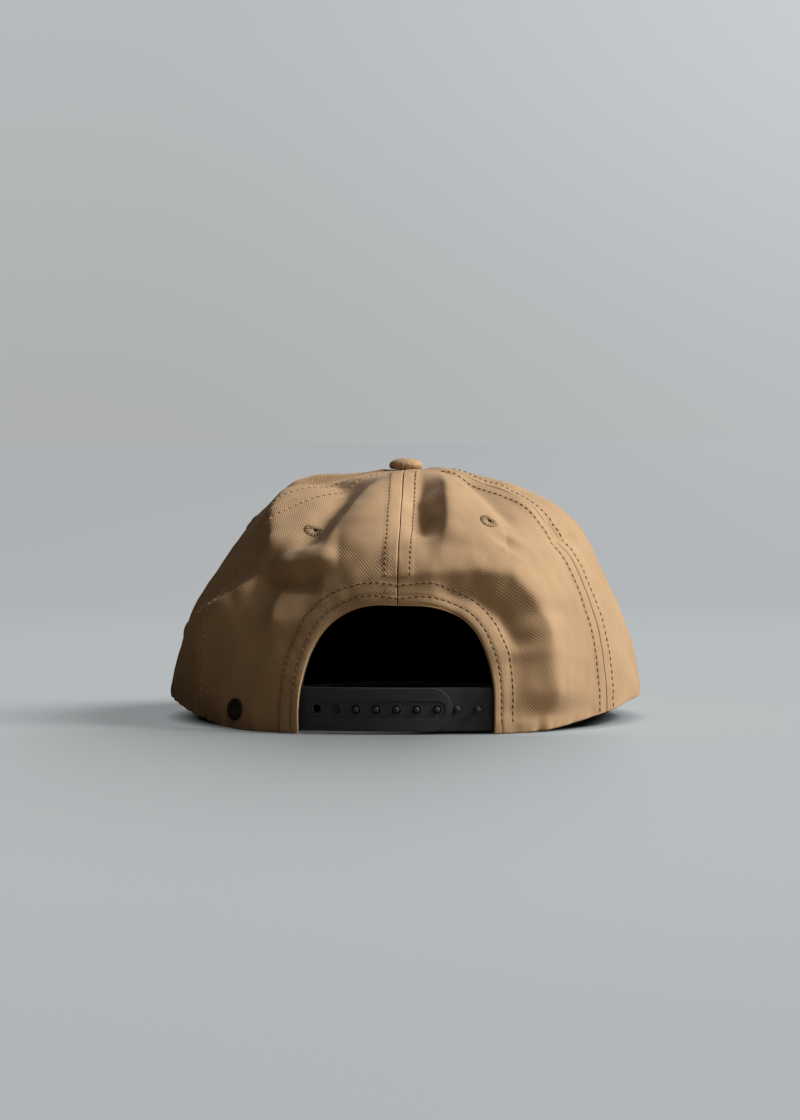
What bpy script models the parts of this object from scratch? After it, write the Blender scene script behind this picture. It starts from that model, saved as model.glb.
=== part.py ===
"""Six-panel snapback cap standing on a table, with its visor towards +Y.

Units are metres and +Z is up. The origin is the centre of the cap's box at table level.
A place on the crown is given by its turn, measured round from the back seam towards +X,
and its rise, which runs from 0 at the bottom edge to a quarter turn at the top.
"""

import math

import bmesh
import bpy
from mathutils import Matrix, Vector

MM = 0.001

# Crown
CROWN_HALF_WIDTH = 95.5 * MM
CROWN_REAR = 93 * MM  # from the crown's centre to its bottom edge at the back
CROWN_FRONT = 96 * MM
CROWN_TOP = 102.5 * MM
DOME_POWER = 2.2  # 2 is an ellipse, and more is fuller at the shoulder
PANEL_COUNT = 6
PANEL_THICKNESS = 1.2 * MM
TOP_HOLE_RADIUS = 3 * MM
GAP = 0.3 * MM  # between pieces that touch

# Back opening
ARCH_HALF_WIDTH = 38.5 * MM
ARCH_HEIGHT = 51 * MM
ARCH_POWER = 3.3
FACING_WIDTH = 9 * MM
FACING_DEPTH = 1.75 * MM  # layers inside the crown are placed by their depth under its outer surface
FACING_THICKNESS = 0.5 * MM

# Visor
VISOR_TURN = math.radians(112.5)  # the visor's corner, measured from the back
VISOR_HALF_WIDTH = 88 * MM
VISOR_REACH = 68 * MM  # from the crown's front to the visor's tip
VISOR_POWER = 2.3
VISOR_ARCH = 5 * MM  # how much the visor's middle stands above its sides
VISOR_DROOP = 0.05  # fall for each unit of length towards the tip
VISOR_TUCK = 3.7 * MM  # how far the visor reaches in under the crown's edge
VISOR_LAYERS = {  # depth of each layer's top and bottom under the visor's upper surface, and its inset
    "visor_top_cover": (0.0, 0.7 * MM, 0.0),
    "visor_board": (1.0 * MM, 3.0 * MM, 1.5 * MM),
    "visor_under_cover": (3.3 * MM, 4.0 * MM, 0.0),
}
VISOR_THICKNESS = 4.0 * MM

# Bottom edge of the crown
FLAT_TURN = math.radians(38)  # the edge lies on the table from the arch out to here
SIDE_LIFT = 3.5 * MM  # how much the edge rises over the ears

# Inside
TAPE_WIDTH = 13 * MM
TAPE_THICKNESS = 0.6 * MM
TAPE_DEPTH = 2.1 * MM
TAPE_STACK = 1.1 * MM  # each tape passes this much under the one before it at the top
TAPE_LIFT = 3 * MM  # above the crown's bottom edge, as are the bands below
TAPE_HOLE_RADIUS = 2 * MM
SWEATBAND_DEPTH = 5.5 * MM
SWEATBAND_THICKNESS = 0.7 * MM
SWEATBAND_HEIGHT = 32 * MM
SWEATBAND_LINING_DEPTH = 4.5 * MM
SWEATBAND_END_TURN = math.radians(25)
SWEATBAND_LIFT = 0.6 * MM

# Snap closure
STRAP_RADIUS = 125 * MM
STRAP_THICKNESS = 1.3 * MM
STRAP_HALF_HEIGHT = 8.5 * MM
STRAP_HEIGHT = 9.7 * MM  # of the strap's middle above the table
STRAP_TAB_DEPTH = 2.7 * MM
STRAP_TAB_LENGTH = 11 * MM
SNAP_PITCH = 8 * MM
SNAP_COUNT = 7
FIRST_HOLE = -32 * MM  # along the strap from the middle of the cap
FIRST_PEG = -16 * MM
HOLE_RADIUS = 1.7 * MM
HOLE_STRAP_END = 22.3 * MM
PEG_STRAP_END = -26.3 * MM
PEG_RADIUS = 1.1 * MM
PEG_HEIGHT = 2.3 * MM
PEG_RAMP = 15 * MM  # over this length the peg strap steps in behind the hole strap
CHANNEL_HALF_HEIGHT = 3.3 * MM
CHANNEL_DEPTH = 0.4 * MM
CHANNEL_ENDS = (-35 * MM, 19.4 * MM)

# Small pieces
EYELET_HEIGHT = 79 * MM
EYELET_HOLE_RADIUS = 1.3 * MM
EYELET_RADIUS = 3.9 * MM
RIVET_TURN = math.radians(-43)
RIVET_HEIGHT = 8 * MM
RIVET_HOLE_RADIUS = 1.65 * MM
RIVET_RADIUS = 4.4 * MM
BUTTON_RADIUS = 6.9 * MM
PIN_DEPTH = 5.3 * MM

# Mesh fineness
PANEL_COLUMNS = 8
PANEL_ROWS = 12
TAPE_STEPS = 26
SWEATBAND_STEPS = 40
ARCH_STEPS = 24
VISOR_COLUMNS = 36
VISOR_ROWS = 4
STRAP_STEPS = 20
END_STEPS = 7
ROUND_SIDES = 16

PANEL_TURN = 2 * math.pi / PANEL_COUNT
PANELS = ("rear_right", "side_right", "front_right", "front_left", "side_left", "rear_left")
UP = Vector((0, 0, 1))


def smooth_step(share):
    """0 to 1 with a level start and end."""
    share = min(1.0, max(0.0, share))
    return share * share * (3 - 2 * share)


# ---------------------------------------------------------------- the crown's shape


def oval_point(turn, inset=0.0):
    """(x, y) of the crown's outline in plan, drawn about (0, 0)."""
    length = CROWN_REAR if math.cos(turn) > 0 else CROWN_FRONT
    return (
        (CROWN_HALF_WIDTH - inset) * math.sin(turn),
        -(length - inset) * math.cos(turn),
    )


def visor_edge_point(share, inset=0.0):
    """(x, y) on the visor's outer edge, from its -X corner at 0 to its +X corner at 1."""
    angle = math.pi * (1 - share)
    corner_y = oval_point(VISOR_TURN)[1] - 2 * MM
    reach = CROWN_FRONT + VISOR_REACH - corner_y
    power = 2 / VISOR_POWER
    across = math.copysign(abs(math.cos(angle)) ** power, math.cos(angle))
    along = abs(math.sin(angle)) ** power
    return (VISOR_HALF_WIDTH - inset) * across, corner_y + (reach - inset) * along


def visor_sag(x, y):
    """Height of the visor's upper surface before it is set down on the table."""
    return VISOR_ARCH * (1 - (x / VISOR_HALF_WIDTH) ** 2) - VISOR_DROOP * y


VISOR_LIFT = VISOR_THICKNESS - min(
    visor_sag(*visor_edge_point(step / 100)) for step in range(101)
)


def visor_height(x, y):
    return VISOR_LIFT + visor_sag(x, y)


def edge_height(turn):
    """Height of the crown's bottom edge above the table."""
    away = abs(math.remainder(turn, 2 * math.pi))
    if away >= VISOR_TURN:
        return visor_height(*oval_point(away, PANEL_THICKNESS)) + GAP
    share = smooth_step((away - FLAT_TURN) / (VISOR_TURN - FLAT_TURN))
    corner = visor_height(*oval_point(VISOR_TURN, PANEL_THICKNESS)) + GAP
    return corner * share + SIDE_LIFT * 4 * share * (1 - share)


def outer_point(turn, rise):
    spread = math.cos(rise) ** (2 / DOME_POWER)
    climb = math.sin(rise) ** (2 / DOME_POWER)
    x, y = oval_point(turn)
    low = edge_height(turn)
    return Vector((x * spread, y * spread, low + (CROWN_TOP - low) * climb))


def normal_at(turn, rise):
    """Outward normal of the crown."""
    step = 1e-3
    if rise > math.pi / 2 - 2 * step:
        return UP.copy()
    low = max(rise - step, 0.0)
    round_way = outer_point(turn + step, rise) - outer_point(turn - step, rise)
    up_way = outer_point(turn, rise + step) - outer_point(turn, low)
    return round_way.cross(up_way).normalized()


def crown_point(turn, rise, depth=0.0):
    return outer_point(turn, rise) - normal_at(turn, rise) * depth


def rise_at(turn, height):
    """The rise at which the crown has this height."""
    low = edge_height(turn)
    climb = max(0.0, (height - low) / (CROWN_TOP - low))
    return math.asin(min(1.0, climb) ** (DOME_POWER / 2))


def back_point(x, height, depth):
    """The point of the crown's back that is x off the back seam and this high."""
    rise = rise_at(0, height)
    spread = math.cos(rise) ** (2 / DOME_POWER)
    turn = math.asin(x / (CROWN_HALF_WIDTH * spread))
    return crown_point(turn, rise, depth)


def arch_outline(grow=0.0, steps=ARCH_STEPS):
    """(x, height) round the back opening, from its -X foot to its +X foot."""
    power = 2 / ARCH_POWER
    points = []
    for step in range(steps + 1):
        angle = math.pi * (1 - step / steps)
        across = math.copysign(abs(math.cos(angle)) ** power, math.cos(angle))
        up = abs(math.sin(angle)) ** power
        points.append(((ARCH_HALF_WIDTH + grow) * across, (ARCH_HEIGHT + grow) * up))
    return points


# ---------------------------------------------------------------- the straps' path

HINGE = back_point(ARCH_HALF_WIDTH, STRAP_HEIGHT, STRAP_TAB_DEPTH)
STRAP_CENTRE_Y = HINGE.y + math.sqrt(STRAP_RADIUS**2 - HINGE.x**2)
STRAP_REACH = STRAP_RADIUS * math.asin(HINGE.x / STRAP_RADIUS)


def strap_normal(along):
    angle = along / STRAP_RADIUS
    return Vector((math.sin(angle), -math.cos(angle), 0))


def strap_point(along, height, depth):
    """A point this far along the strap's arc from the middle, and this deep under its outer face."""
    centre = Vector((0, STRAP_CENTRE_Y, height))
    return centre + strap_normal(along) * (STRAP_RADIUS - depth)


def peg_strap_depth(along):
    """Depth of the peg strap's outer face, which steps in to pass behind the hole strap."""
    return (STRAP_THICKNESS + GAP) * smooth_step((STRAP_REACH - along) / PEG_RAMP)


REAR_REACH = STRAP_RADIUS - STRAP_CENTRE_Y + PEG_HEIGHT - STRAP_THICKNESS - GAP
BOX_CENTRE_Y = (CROWN_FRONT + VISOR_REACH - REAR_REACH) / 2


# ---------------------------------------------------------------- mesh building


def material(name, colour, roughness, metallic=0.0):
    made = bpy.data.materials.new(name)
    made.use_nodes = True
    shader = made.node_tree.nodes["Principled BSDF"]
    shader.inputs["Base Color"].default_value = (*colour, 1)
    shader.inputs["Roughness"].default_value = roughness
    shader.inputs["Metallic"].default_value = metallic
    return made


def add_object(name, mesh_builder, finish=None):
    """Makes an object from a bmesh, with the box's centre moved onto the origin."""
    bmesh.ops.remove_doubles(mesh_builder, verts=mesh_builder.verts, dist=1e-7)
    bmesh.ops.recalc_face_normals(mesh_builder, faces=mesh_builder.faces)
    mesh = bpy.data.meshes.new(name)
    mesh_builder.to_mesh(mesh)
    mesh_builder.free()
    mesh.shade_smooth()
    mesh.set_sharp_from_angle(angle=math.radians(40))
    made = bpy.data.objects.new(name, mesh)
    made.location = (0, -BOX_CENTRE_Y, 0)
    bpy.context.scene.collection.objects.link(made)
    if finish:
        mesh.materials.append(finish)
    else:
        made.hide_render = True
        made.display_type = "WIRE"
    return made


def fill_sheet(builder, outer, inner):
    """Closes two matching grids of points, given as rows, into one solid."""
    rows, columns = len(outer), len(outer[0])
    top = [[builder.verts.new(point) for point in row] for row in outer]
    bottom = [[builder.verts.new(point) for point in row] for row in inner]
    for row in range(rows - 1):
        for column in range(columns - 1):
            for side in (top, bottom):
                builder.faces.new(
                    (
                        side[row][column],
                        side[row][column + 1],
                        side[row + 1][column + 1],
                        side[row + 1][column],
                    )
                )
    rim = [(0, column) for column in range(columns)]
    rim += [(row, columns - 1) for row in range(1, rows)]
    rim += [(rows - 1, column) for column in range(columns - 2, -1, -1)]
    rim += [(row, 0) for row in range(rows - 2, 0, -1)]
    for here, after in zip(rim, rim[1:] + rim[:1]):
        builder.faces.new(
            (
                top[here[0]][here[1]],
                top[after[0]][after[1]],
                bottom[after[0]][after[1]],
                bottom[here[0]][here[1]],
            )
        )


def sheet(name, outer, inner, finish=None):
    builder = bmesh.new()
    fill_sheet(builder, outer, inner)
    return add_object(name, builder, finish)


def spin_profile(builder, profile, place, sides=ROUND_SIDES):
    """Turns a closed profile of (radius, height) points about +Z, then puts it in place."""
    points = [builder.verts.new((radius, 0, height)) for radius, height in profile]
    ends_on_axis = profile[0][0] == 0 and profile[-1][0] == 0
    pairs = list(zip(points, points[1:]))
    if not ends_on_axis:
        pairs.append((points[-1], points[0]))
    edges = [builder.edges.new(pair) for pair in pairs]
    bmesh.ops.spin(
        builder,
        geom=points + edges,
        cent=(0, 0, 0),
        axis=UP,
        angle=2 * math.pi,
        steps=sides,
        use_merge=True,
    )
    turned = [vertex for vertex in builder.verts if not vertex.tag]
    bmesh.ops.transform(builder, matrix=place, verts=turned)
    for vertex in turned:
        vertex.tag = True


def turned(name, profile, place, finish=None, sides=ROUND_SIDES):
    builder = bmesh.new()
    spin_profile(builder, profile, place, sides)
    return add_object(name, builder, finish)


def place_on(point, axis):
    """A frame whose +Z is the axis."""
    return Matrix.Translation(point) @ axis.to_track_quat("Z", "Y").to_matrix().to_4x4()


def rod_profile(radius, low, high):
    return [(0, low), (radius, low), (radius, high), (0, high)]


def dome_profile(radius, low, edge, high, steps=4):
    """A flat-bottomed disc whose top is domed from edge to high."""
    dome = [
        (radius * math.cos(angle), edge + (high - edge) * math.sin(angle))
        for angle in (math.pi / 2 * step / steps for step in range(steps))
    ]
    return [(0, low), (radius, low), *dome, (0, high)]


def boolean(target, cutter, operation="DIFFERENCE"):
    change = target.modifiers.new(cutter.name, "BOOLEAN")
    change.object = cutter
    change.operation = operation


# ---------------------------------------------------------------- crown pieces


def make_panel(index, finish):
    """One gore of the crown, a hairline short of the seams on both sides."""
    top_rise = math.acos((TOP_HOLE_RADIUS / CROWN_HALF_WIDTH) ** (DOME_POWER / 2))
    outer, inner = [], []
    for row in range(PANEL_ROWS + 1):
        rise = top_rise * row / PANEL_ROWS
        radius = CROWN_HALF_WIDTH * math.cos(rise) ** (2 / DOME_POWER)
        margin = GAP / 2 / radius
        start = index * PANEL_TURN + margin
        width = PANEL_TURN - 2 * margin
        turns = [start + width * column / PANEL_COLUMNS for column in range(PANEL_COLUMNS + 1)]
        outer.append([crown_point(turn, rise) for turn in turns])
        inner.append([crown_point(turn, rise, PANEL_THICKNESS) for turn in turns])
    return sheet(f"panel_{PANELS[index]}", outer, inner, finish)


def make_arch_cutter():
    """The back opening's outline drawn through the back of the crown."""
    outline = arch_outline()
    below = -10 * MM
    outline = [(outline[0][0], below), *outline, (outline[-1][0], below)]
    builder = bmesh.new()
    base = [builder.verts.new((x, -2 * CROWN_REAR, height)) for x, height in outline]
    face = builder.faces.new(base)
    grown = bmesh.ops.extrude_face_region(builder, geom=[face])
    moved = [item for item in grown["geom"] if isinstance(item, bmesh.types.BMVert)]
    bmesh.ops.translate(builder, vec=(0, 1.5 * CROWN_REAR, 0), verts=moved)
    return add_object("arch_cutter", builder)


def surface_frame(turn, height):
    rise = rise_at(turn, height)
    return place_on(outer_point(turn, rise), normal_at(turn, rise))


def make_eyelet(index, panel, finish):
    """A stitched ring round the vent hole in the middle of a panel."""
    place = surface_frame((index + 0.5) * PANEL_TURN, EYELET_HEIGHT)
    bore = rod_profile(EYELET_HOLE_RADIUS, -4 * MM, 4 * MM)
    boolean(panel, turned(f"eyelet_cutter_{index}", bore, place))
    low, high = 0.15 * MM, 0.7 * MM
    ring = [
        (EYELET_HOLE_RADIUS + 0.2 * MM, low),
        (EYELET_RADIUS, low),
        (EYELET_RADIUS - 0.4 * MM, high),
        (EYELET_HOLE_RADIUS + 0.6 * MM, high),
    ]
    turned(f"eyelet_{PANELS[index]}", ring, place, finish)


def make_rivet(panel, finish):
    """A domed stud whose post goes through the panel into a washer behind it."""
    place = surface_frame(RIVET_TURN, RIVET_HEIGHT)
    bore = rod_profile(RIVET_HOLE_RADIUS, -4 * MM, 4 * MM)
    boolean(panel, turned("rivet_cutter", bore, place))
    post_radius, post_end = 1.3 * MM, -2.8 * MM
    low, edge, high = 0.3 * MM, 1.0 * MM, 1.7 * MM
    head = dome_profile(RIVET_RADIUS, low, edge, high)[1:]
    profile = [(0, post_end), (post_radius, post_end), (post_radius, low), *head]
    turned("rivet_stud", profile, place, finish, sides=20)
    washer = [
        (RIVET_HOLE_RADIUS, -2.7 * MM),
        (4 * MM, -2.7 * MM),
        (4 * MM, -1.9 * MM),
        (RIVET_HOLE_RADIUS, -1.9 * MM),
    ]
    turned("rivet_washer", washer, place, finish)


def make_arch_facing(finish):
    """The strip that lines the edge of the back opening on the inside."""
    near, far = arch_outline(GAP), arch_outline(FACING_WIDTH)
    foot = 0.6 * MM
    rings = []
    for depth in (FACING_DEPTH, FACING_DEPTH + FACING_THICKNESS):
        rings.append(
            [
                [
                    back_point(x, max(height, foot), depth)
                    for x, height in (start, tuple(Vector(start).lerp(Vector(end), 0.5)), end)
                ]
                for start, end in zip(near, far)
            ]
        )
    return sheet("arch_facing", *rings, finish)


def tape_line(turn, order, start_height):
    """(point, sideways, normal, depth) along a tape that runs over the top of the crown."""
    start_rise = rise_at(turn, start_height)
    other_turn = turn + math.pi
    end_rise = rise_at(other_turn, edge_height(other_turn) + TAPE_LIFT)
    for step in range(TAPE_STEPS + 1):
        swing = start_rise + (math.pi - end_rise - start_rise) * step / TAPE_STEPS
        over = swing > math.pi / 2
        here, rise = (other_turn, math.pi - swing) if over else (turn, swing)
        point = outer_point(here, rise)
        travel = point - outer_point(here, rise - 1e-3)
        if over:
            travel.negate()
        normal = normal_at(here, rise)
        middle = math.hypot(point.x, point.y)
        stacked = order * TAPE_STACK * smooth_step((24 * MM - middle) / (14 * MM))
        yield point, travel.cross(normal).normalized(), normal, TAPE_DEPTH + stacked


def make_seam_tape(order, finish, pin_cutter):
    """A strip that covers two opposite seams on the inside, passing over the top."""
    turn = order * PANEL_TURN
    start = ARCH_HEIGHT + FACING_WIDTH + 2 * MM
    if order:
        start = edge_height(turn) + TAPE_LIFT
    sides = [[], []]
    for point, sideways, normal, depth in tape_line(turn, order, start):
        for side, extra in zip(sides, (0, TAPE_THICKNESS)):
            middle = point - normal * (depth + extra)
            side.append([middle + sideways * TAPE_WIDTH * share for share in (-0.5, 0.5)])
    tape = sheet(f"seam_tape_{('back_front', 'right', 'left')[order]}", *sides, finish)
    boolean(tape, pin_cutter)
    return tape


def make_band(name, depth, finish):
    """A strip round the inside of the crown's bottom edge, open at the back."""
    sides = [[], []]
    span = 2 * (math.pi - SWEATBAND_END_TURN)
    for step in range(SWEATBAND_STEPS + 1):
        turn = SWEATBAND_END_TURN + span * step / SWEATBAND_STEPS
        low = edge_height(turn) + SWEATBAND_LIFT
        for side, extra in zip(sides, (0, SWEATBAND_THICKNESS)):
            side.append(
                [
                    crown_point(turn, rise_at(turn, low + SWEATBAND_HEIGHT * share), depth + extra)
                    for share in (0, 0.5, 1)
                ]
            )
    return sheet(name, *sides, finish)


def make_button(cover_finish, metal_finish):
    """The covered button on top, and the pin that clinches it from inside."""
    place = Matrix.Translation((0, 0, CROWN_TOP))
    steps = 5
    wall = 0.6 * MM
    rim, edge, high = 0.25 * MM, 1.6 * MM, 4.7 * MM

    def dome(radius, top):
        for step in range(steps + 1):
            angle = math.pi / 2 * step / steps
            yield radius * math.cos(angle) if step < steps else 0, edge + (top - edge) * math.sin(angle)

    outside = [(BUTTON_RADIUS, rim), *dome(BUTTON_RADIUS, high)]
    inside = [(BUTTON_RADIUS - wall, rim), *dome(BUTTON_RADIUS - wall, high - wall)]
    turned("button_cover", [*reversed(inside), *outside], place, cover_finish, sides=20)

    shell_radius = BUTTON_RADIUS - wall - GAP
    socket_radius, socket_top = 1.6 * MM, 2.4 * MM
    shell = [(0, socket_top), (socket_radius, socket_top), (socket_radius, 2 * rim)]
    shell += [(shell_radius, 2 * rim), *dome(shell_radius, high - wall - GAP)]
    turned("button_shell", shell, place, metal_finish)

    pin_radius, base_radius, base_thickness = 1.2 * MM, 5.5 * MM, 0.8 * MM
    pin = [
        (0, -PIN_DEPTH - base_thickness),
        (base_radius, -PIN_DEPTH - base_thickness),
        (base_radius, -PIN_DEPTH),
        (pin_radius, -PIN_DEPTH),
        (pin_radius, socket_top - GAP),
        (0, socket_top - GAP),
    ]
    turned("button_pin", pin, place, metal_finish)


# ---------------------------------------------------------------- visor


def make_visor_layer(name, finish):
    high, low, inset = VISOR_LAYERS[name]
    sides = [[], []]
    for column in range(VISOR_COLUMNS + 1):
        share = column / VISOR_COLUMNS
        turn = 2 * math.pi - VISOR_TURN - 2 * (math.pi - VISOR_TURN) * share
        near = Vector(oval_point(turn, VISOR_TUCK))
        far = Vector(visor_edge_point(share, inset))
        line = [near.lerp(far, row / VISOR_ROWS) for row in range(VISOR_ROWS + 1)]
        for side, depth in zip(sides, (high, low)):
            side.append([Vector((x, y, visor_height(x, y) - depth)) for x, y in line])
    return sheet(name, *sides, finish)


# ---------------------------------------------------------------- snap closure


def make_ribbon(name, start, end, half_height, depths, round_end, finish=None):
    """A strip along the straps' arc. depths(along) gives its outer and inner face, and
    round_end is the direction, +1 or -1, in which it ends in a half circle."""
    low, high = min(start, end), max(start, end)
    corner = (high if round_end > 0 else low) - round_end * half_height
    columns = [low + (high - low) * step / STRAP_STEPS for step in range(STRAP_STEPS + 1)]
    columns = [along for along in columns if (corner - along) * round_end > 1 * MM]
    curve = [math.pi / 2 * step / END_STEPS for step in range(END_STEPS)]
    curve.append(math.pi / 2 * (1 - 0.25 / END_STEPS))
    columns += [corner + round_end * half_height * math.sin(angle) for angle in curve]
    sides = [[], []]
    for along in sorted(columns):
        past = max(0.0, (along - corner) * round_end)
        half = math.sqrt(half_height**2 - past**2)
        for side, depth in zip(sides, depths(along)):
            side.append([strap_point(along, STRAP_HEIGHT + half * way, depth) for way in (-1, 1)])
    return sheet(name, *sides, finish)


def snap_row(name, first, profile, depth_at):
    """One turned shape at each snap position, standing along the strap's normal."""
    builder = bmesh.new()
    for step in range(SNAP_COUNT):
        along = first + step * SNAP_PITCH
        face = strap_point(along, STRAP_HEIGHT, depth_at(along))
        spin_profile(builder, profile, place_on(face, strap_normal(along)), sides=12)
    return add_object(name, builder)


def make_hole_strap(finish):
    def faces(_along):
        return 0.0, STRAP_THICKNESS

    strap = make_ribbon(
        "hole_strap", -STRAP_REACH + GAP, HOLE_STRAP_END, STRAP_HALF_HEIGHT, faces, 1, finish
    )
    channel = make_ribbon(
        "channel_cutter",
        *CHANNEL_ENDS,
        CHANNEL_HALF_HEIGHT,
        lambda _along: (-2 * MM, CHANNEL_DEPTH),
        1,
    )
    boolean(strap, channel)
    bore = rod_profile(HOLE_RADIUS, -3 * MM, 3 * MM)
    boolean(strap, snap_row("hole_cutter", FIRST_HOLE, bore, lambda _along: 0.0))
    return strap


def make_peg_strap(finish):
    def faces(along):
        outer = peg_strap_depth(along)
        return outer, outer + STRAP_THICKNESS

    strap = make_ribbon(
        "peg_strap", STRAP_REACH - GAP, PEG_STRAP_END, STRAP_HALF_HEIGHT, faces, -1, finish
    )
    root = -0.6 * MM
    peg = dome_profile(PEG_RADIUS, root, PEG_HEIGHT - 0.6 * MM, PEG_HEIGHT, steps=3)
    boolean(strap, snap_row("peg_row", FIRST_PEG, peg, peg_strap_depth), "UNION")
    return strap


def make_strap_tab(name, side, finish):
    """The end of a strap that is sewn in between the facing and the sweatband."""
    sides = [[], []]
    steps = 4
    for step in range(steps + 1):
        x = side * (ARCH_HALF_WIDTH + STRAP_TAB_LENGTH * step / steps)
        for face, extra in zip(sides, (0, STRAP_THICKNESS)):
            heights = (STRAP_HEIGHT + STRAP_HALF_HEIGHT * way for way in (-1, 0, 1))
            face.append([back_point(x, height, STRAP_TAB_DEPTH + extra) for height in heights])
    return sheet(name, *sides, finish)


def main():
    for leftover in list(bpy.data.objects):
        bpy.data.objects.remove(leftover)

    twill = material("tan_twill", (0.43, 0.26, 0.125), 0.9)
    tape_cloth = material("black_tape", (0.02, 0.02, 0.022), 0.85)
    band_cloth = material("black_sweatband", (0.015, 0.015, 0.017), 0.9)
    lining = material("band_lining", (0.6, 0.58, 0.55), 0.95)
    board = material("visor_board", (0.75, 0.75, 0.72), 0.5)
    plastic = material("black_plastic", (0.02, 0.021, 0.024), 0.45)
    steel = material("zinc", (0.6, 0.6, 0.6), 0.35, 1.0)
    gunmetal = material("gunmetal", (0.03, 0.03, 0.03), 0.4, 0.8)

    arch_cutter = make_arch_cutter()
    for index in range(PANEL_COUNT):
        panel = make_panel(index, twill)
        make_eyelet(index, panel, twill)
        if PANELS[index].startswith("rear"):
            boolean(panel, arch_cutter)
        if PANELS[index] == "rear_left":
            make_rivet(panel, gunmetal)
    make_arch_facing(twill)

    pin_bore = rod_profile(TAPE_HOLE_RADIUS, -10 * MM, 3 * MM)
    pin_cutter = turned("pin_cutter", pin_bore, Matrix.Translation((0, 0, CROWN_TOP)))
    for order in range(PANEL_COUNT // 2):
        make_seam_tape(order, tape_cloth, pin_cutter)
    make_band("sweatband_lining", SWEATBAND_LINING_DEPTH, lining)
    make_band("sweatband", SWEATBAND_DEPTH, band_cloth)
    make_button(twill, steel)

    finishes = {"visor_board": board}
    for name in VISOR_LAYERS:
        make_visor_layer(name, finishes.get(name, twill))

    make_strap_tab("hole_strap_tab", -1, plastic)
    make_strap_tab("peg_strap_tab", 1, plastic)
    make_hole_strap(plastic)
    make_peg_strap(plastic)


main()
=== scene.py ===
"""Looks of the six-panel snapback cap: folded twill crown, stitching, snap straps, visor and studio.

Lengths are in metres. A place on the crown is given, as in the CAD model, by its turn, measured
round from the back seam towards +X, and its rise, from 0 at the bottom edge to a quarter turn at
the top. Every cloth layer is placed by its depth under one shared, folded surface.
"""

import math

import bmesh
import bpy
import numpy as np
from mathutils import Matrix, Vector


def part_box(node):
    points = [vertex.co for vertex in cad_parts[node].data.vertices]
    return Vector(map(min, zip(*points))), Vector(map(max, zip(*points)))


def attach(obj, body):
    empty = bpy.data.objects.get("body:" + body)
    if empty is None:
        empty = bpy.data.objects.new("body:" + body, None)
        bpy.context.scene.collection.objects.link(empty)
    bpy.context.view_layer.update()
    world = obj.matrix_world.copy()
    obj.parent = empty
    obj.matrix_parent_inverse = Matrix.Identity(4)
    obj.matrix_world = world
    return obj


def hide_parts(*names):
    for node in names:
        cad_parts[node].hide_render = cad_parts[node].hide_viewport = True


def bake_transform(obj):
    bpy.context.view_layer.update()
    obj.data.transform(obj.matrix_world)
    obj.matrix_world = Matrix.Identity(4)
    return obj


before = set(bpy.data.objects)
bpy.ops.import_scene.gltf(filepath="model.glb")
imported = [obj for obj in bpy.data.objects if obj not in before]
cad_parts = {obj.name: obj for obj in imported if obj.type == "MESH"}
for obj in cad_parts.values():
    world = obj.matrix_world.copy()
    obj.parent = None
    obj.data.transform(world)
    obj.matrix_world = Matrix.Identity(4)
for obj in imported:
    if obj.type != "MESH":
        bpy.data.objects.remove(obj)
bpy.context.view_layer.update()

MM = 0.001


def centre_of(node):
    low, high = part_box(node)
    return (np.array(low) + np.array(high)) / 2


# ---------------------------------------------------------------- the CAD model's dimensions

CENTRE_Y = centre_of("button_cover")[1]
CROWN_HALF_WIDTH = 95.5 * MM
CROWN_REAR = 93 * MM
CROWN_FRONT = 96 * MM
CROWN_TOP = 102.5 * MM
DOME_POWER = 2.2
PANEL_COUNT = 6
PANEL_TURN = 2 * math.pi / PANEL_COUNT
PANELS = ("rear_right", "side_right", "front_right", "front_left", "side_left", "rear_left")
SEAMS = ("back", "side_right", "front_right", "front", "front_left", "side_left")
TOP_HOLE_RADIUS = 3 * MM
GAP = 0.3 * MM
ARCH_HALF_WIDTH = 38.5 * MM
ARCH_HEIGHT = 52.3 * MM
ARCH_POWER = 3.3
FACING_WIDTH = 9 * MM
FACING_DEPTH = 1.75 * MM
VISOR_TURN = math.radians(112.5)
VISOR_HALF_WIDTH = 88 * MM
VISOR_REACH = 68 * MM
VISOR_POWER = 2.3
VISOR_ARCH = 5 * MM
VISOR_DROOP = 0.05
VISOR_TUCK = 3.7 * MM
VISOR_THICKNESS = 4.0 * MM
FLAT_TURN = math.radians(38)
SIDE_LIFT = 3.5 * MM
TAPE_WIDTH = 13 * MM
TAPE_DEPTH = 2.1 * MM
TAPE_STACK = 1.1 * MM
TAPE_LIFT = 3 * MM
SWEATBAND_DEPTH = 5.5 * MM
SWEATBAND_LINING_DEPTH = 4.5 * MM
SWEATBAND_HEIGHT = 32 * MM
SWEATBAND_END_TURN = math.radians(25)
SWEATBAND_LIFT = 0.6 * MM
STRAP_RADIUS = 125 * MM
STRAP_THICKNESS = 1.3 * MM
STRAP_HALF_HEIGHT = 8.5 * MM
STRAP_HEIGHT = 9.7 * MM
STRAP_TAB_DEPTH = 2.7 * MM
STRAP_TAB_LENGTH = 11 * MM
SNAP_PITCH = 8 * MM
SNAP_COUNT = 7
FIRST_HOLE = -32 * MM
FIRST_PEG = -16 * MM
HOLE_RADIUS = 1.7 * MM
HOLE_STRAP_END = 22.3 * MM
PEG_STRAP_END = -26.3 * MM
PEG_RAMP = 15 * MM
CHANNEL_HALF_HEIGHT = 3.3 * MM
CHANNEL_DEPTH = 0.4 * MM
CHANNEL_ENDS = (-44 * MM, 19.4 * MM)
EYELET_HEIGHT = 79 * MM
EYELET_RADIUS = 3.9 * MM
RIVET_TURN = math.radians(-43)
RIVET_HEIGHT = 8 * MM
BUTTON_RADIUS = 6.9 * MM

# ---------------------------------------------------------------- what the looks add

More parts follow.
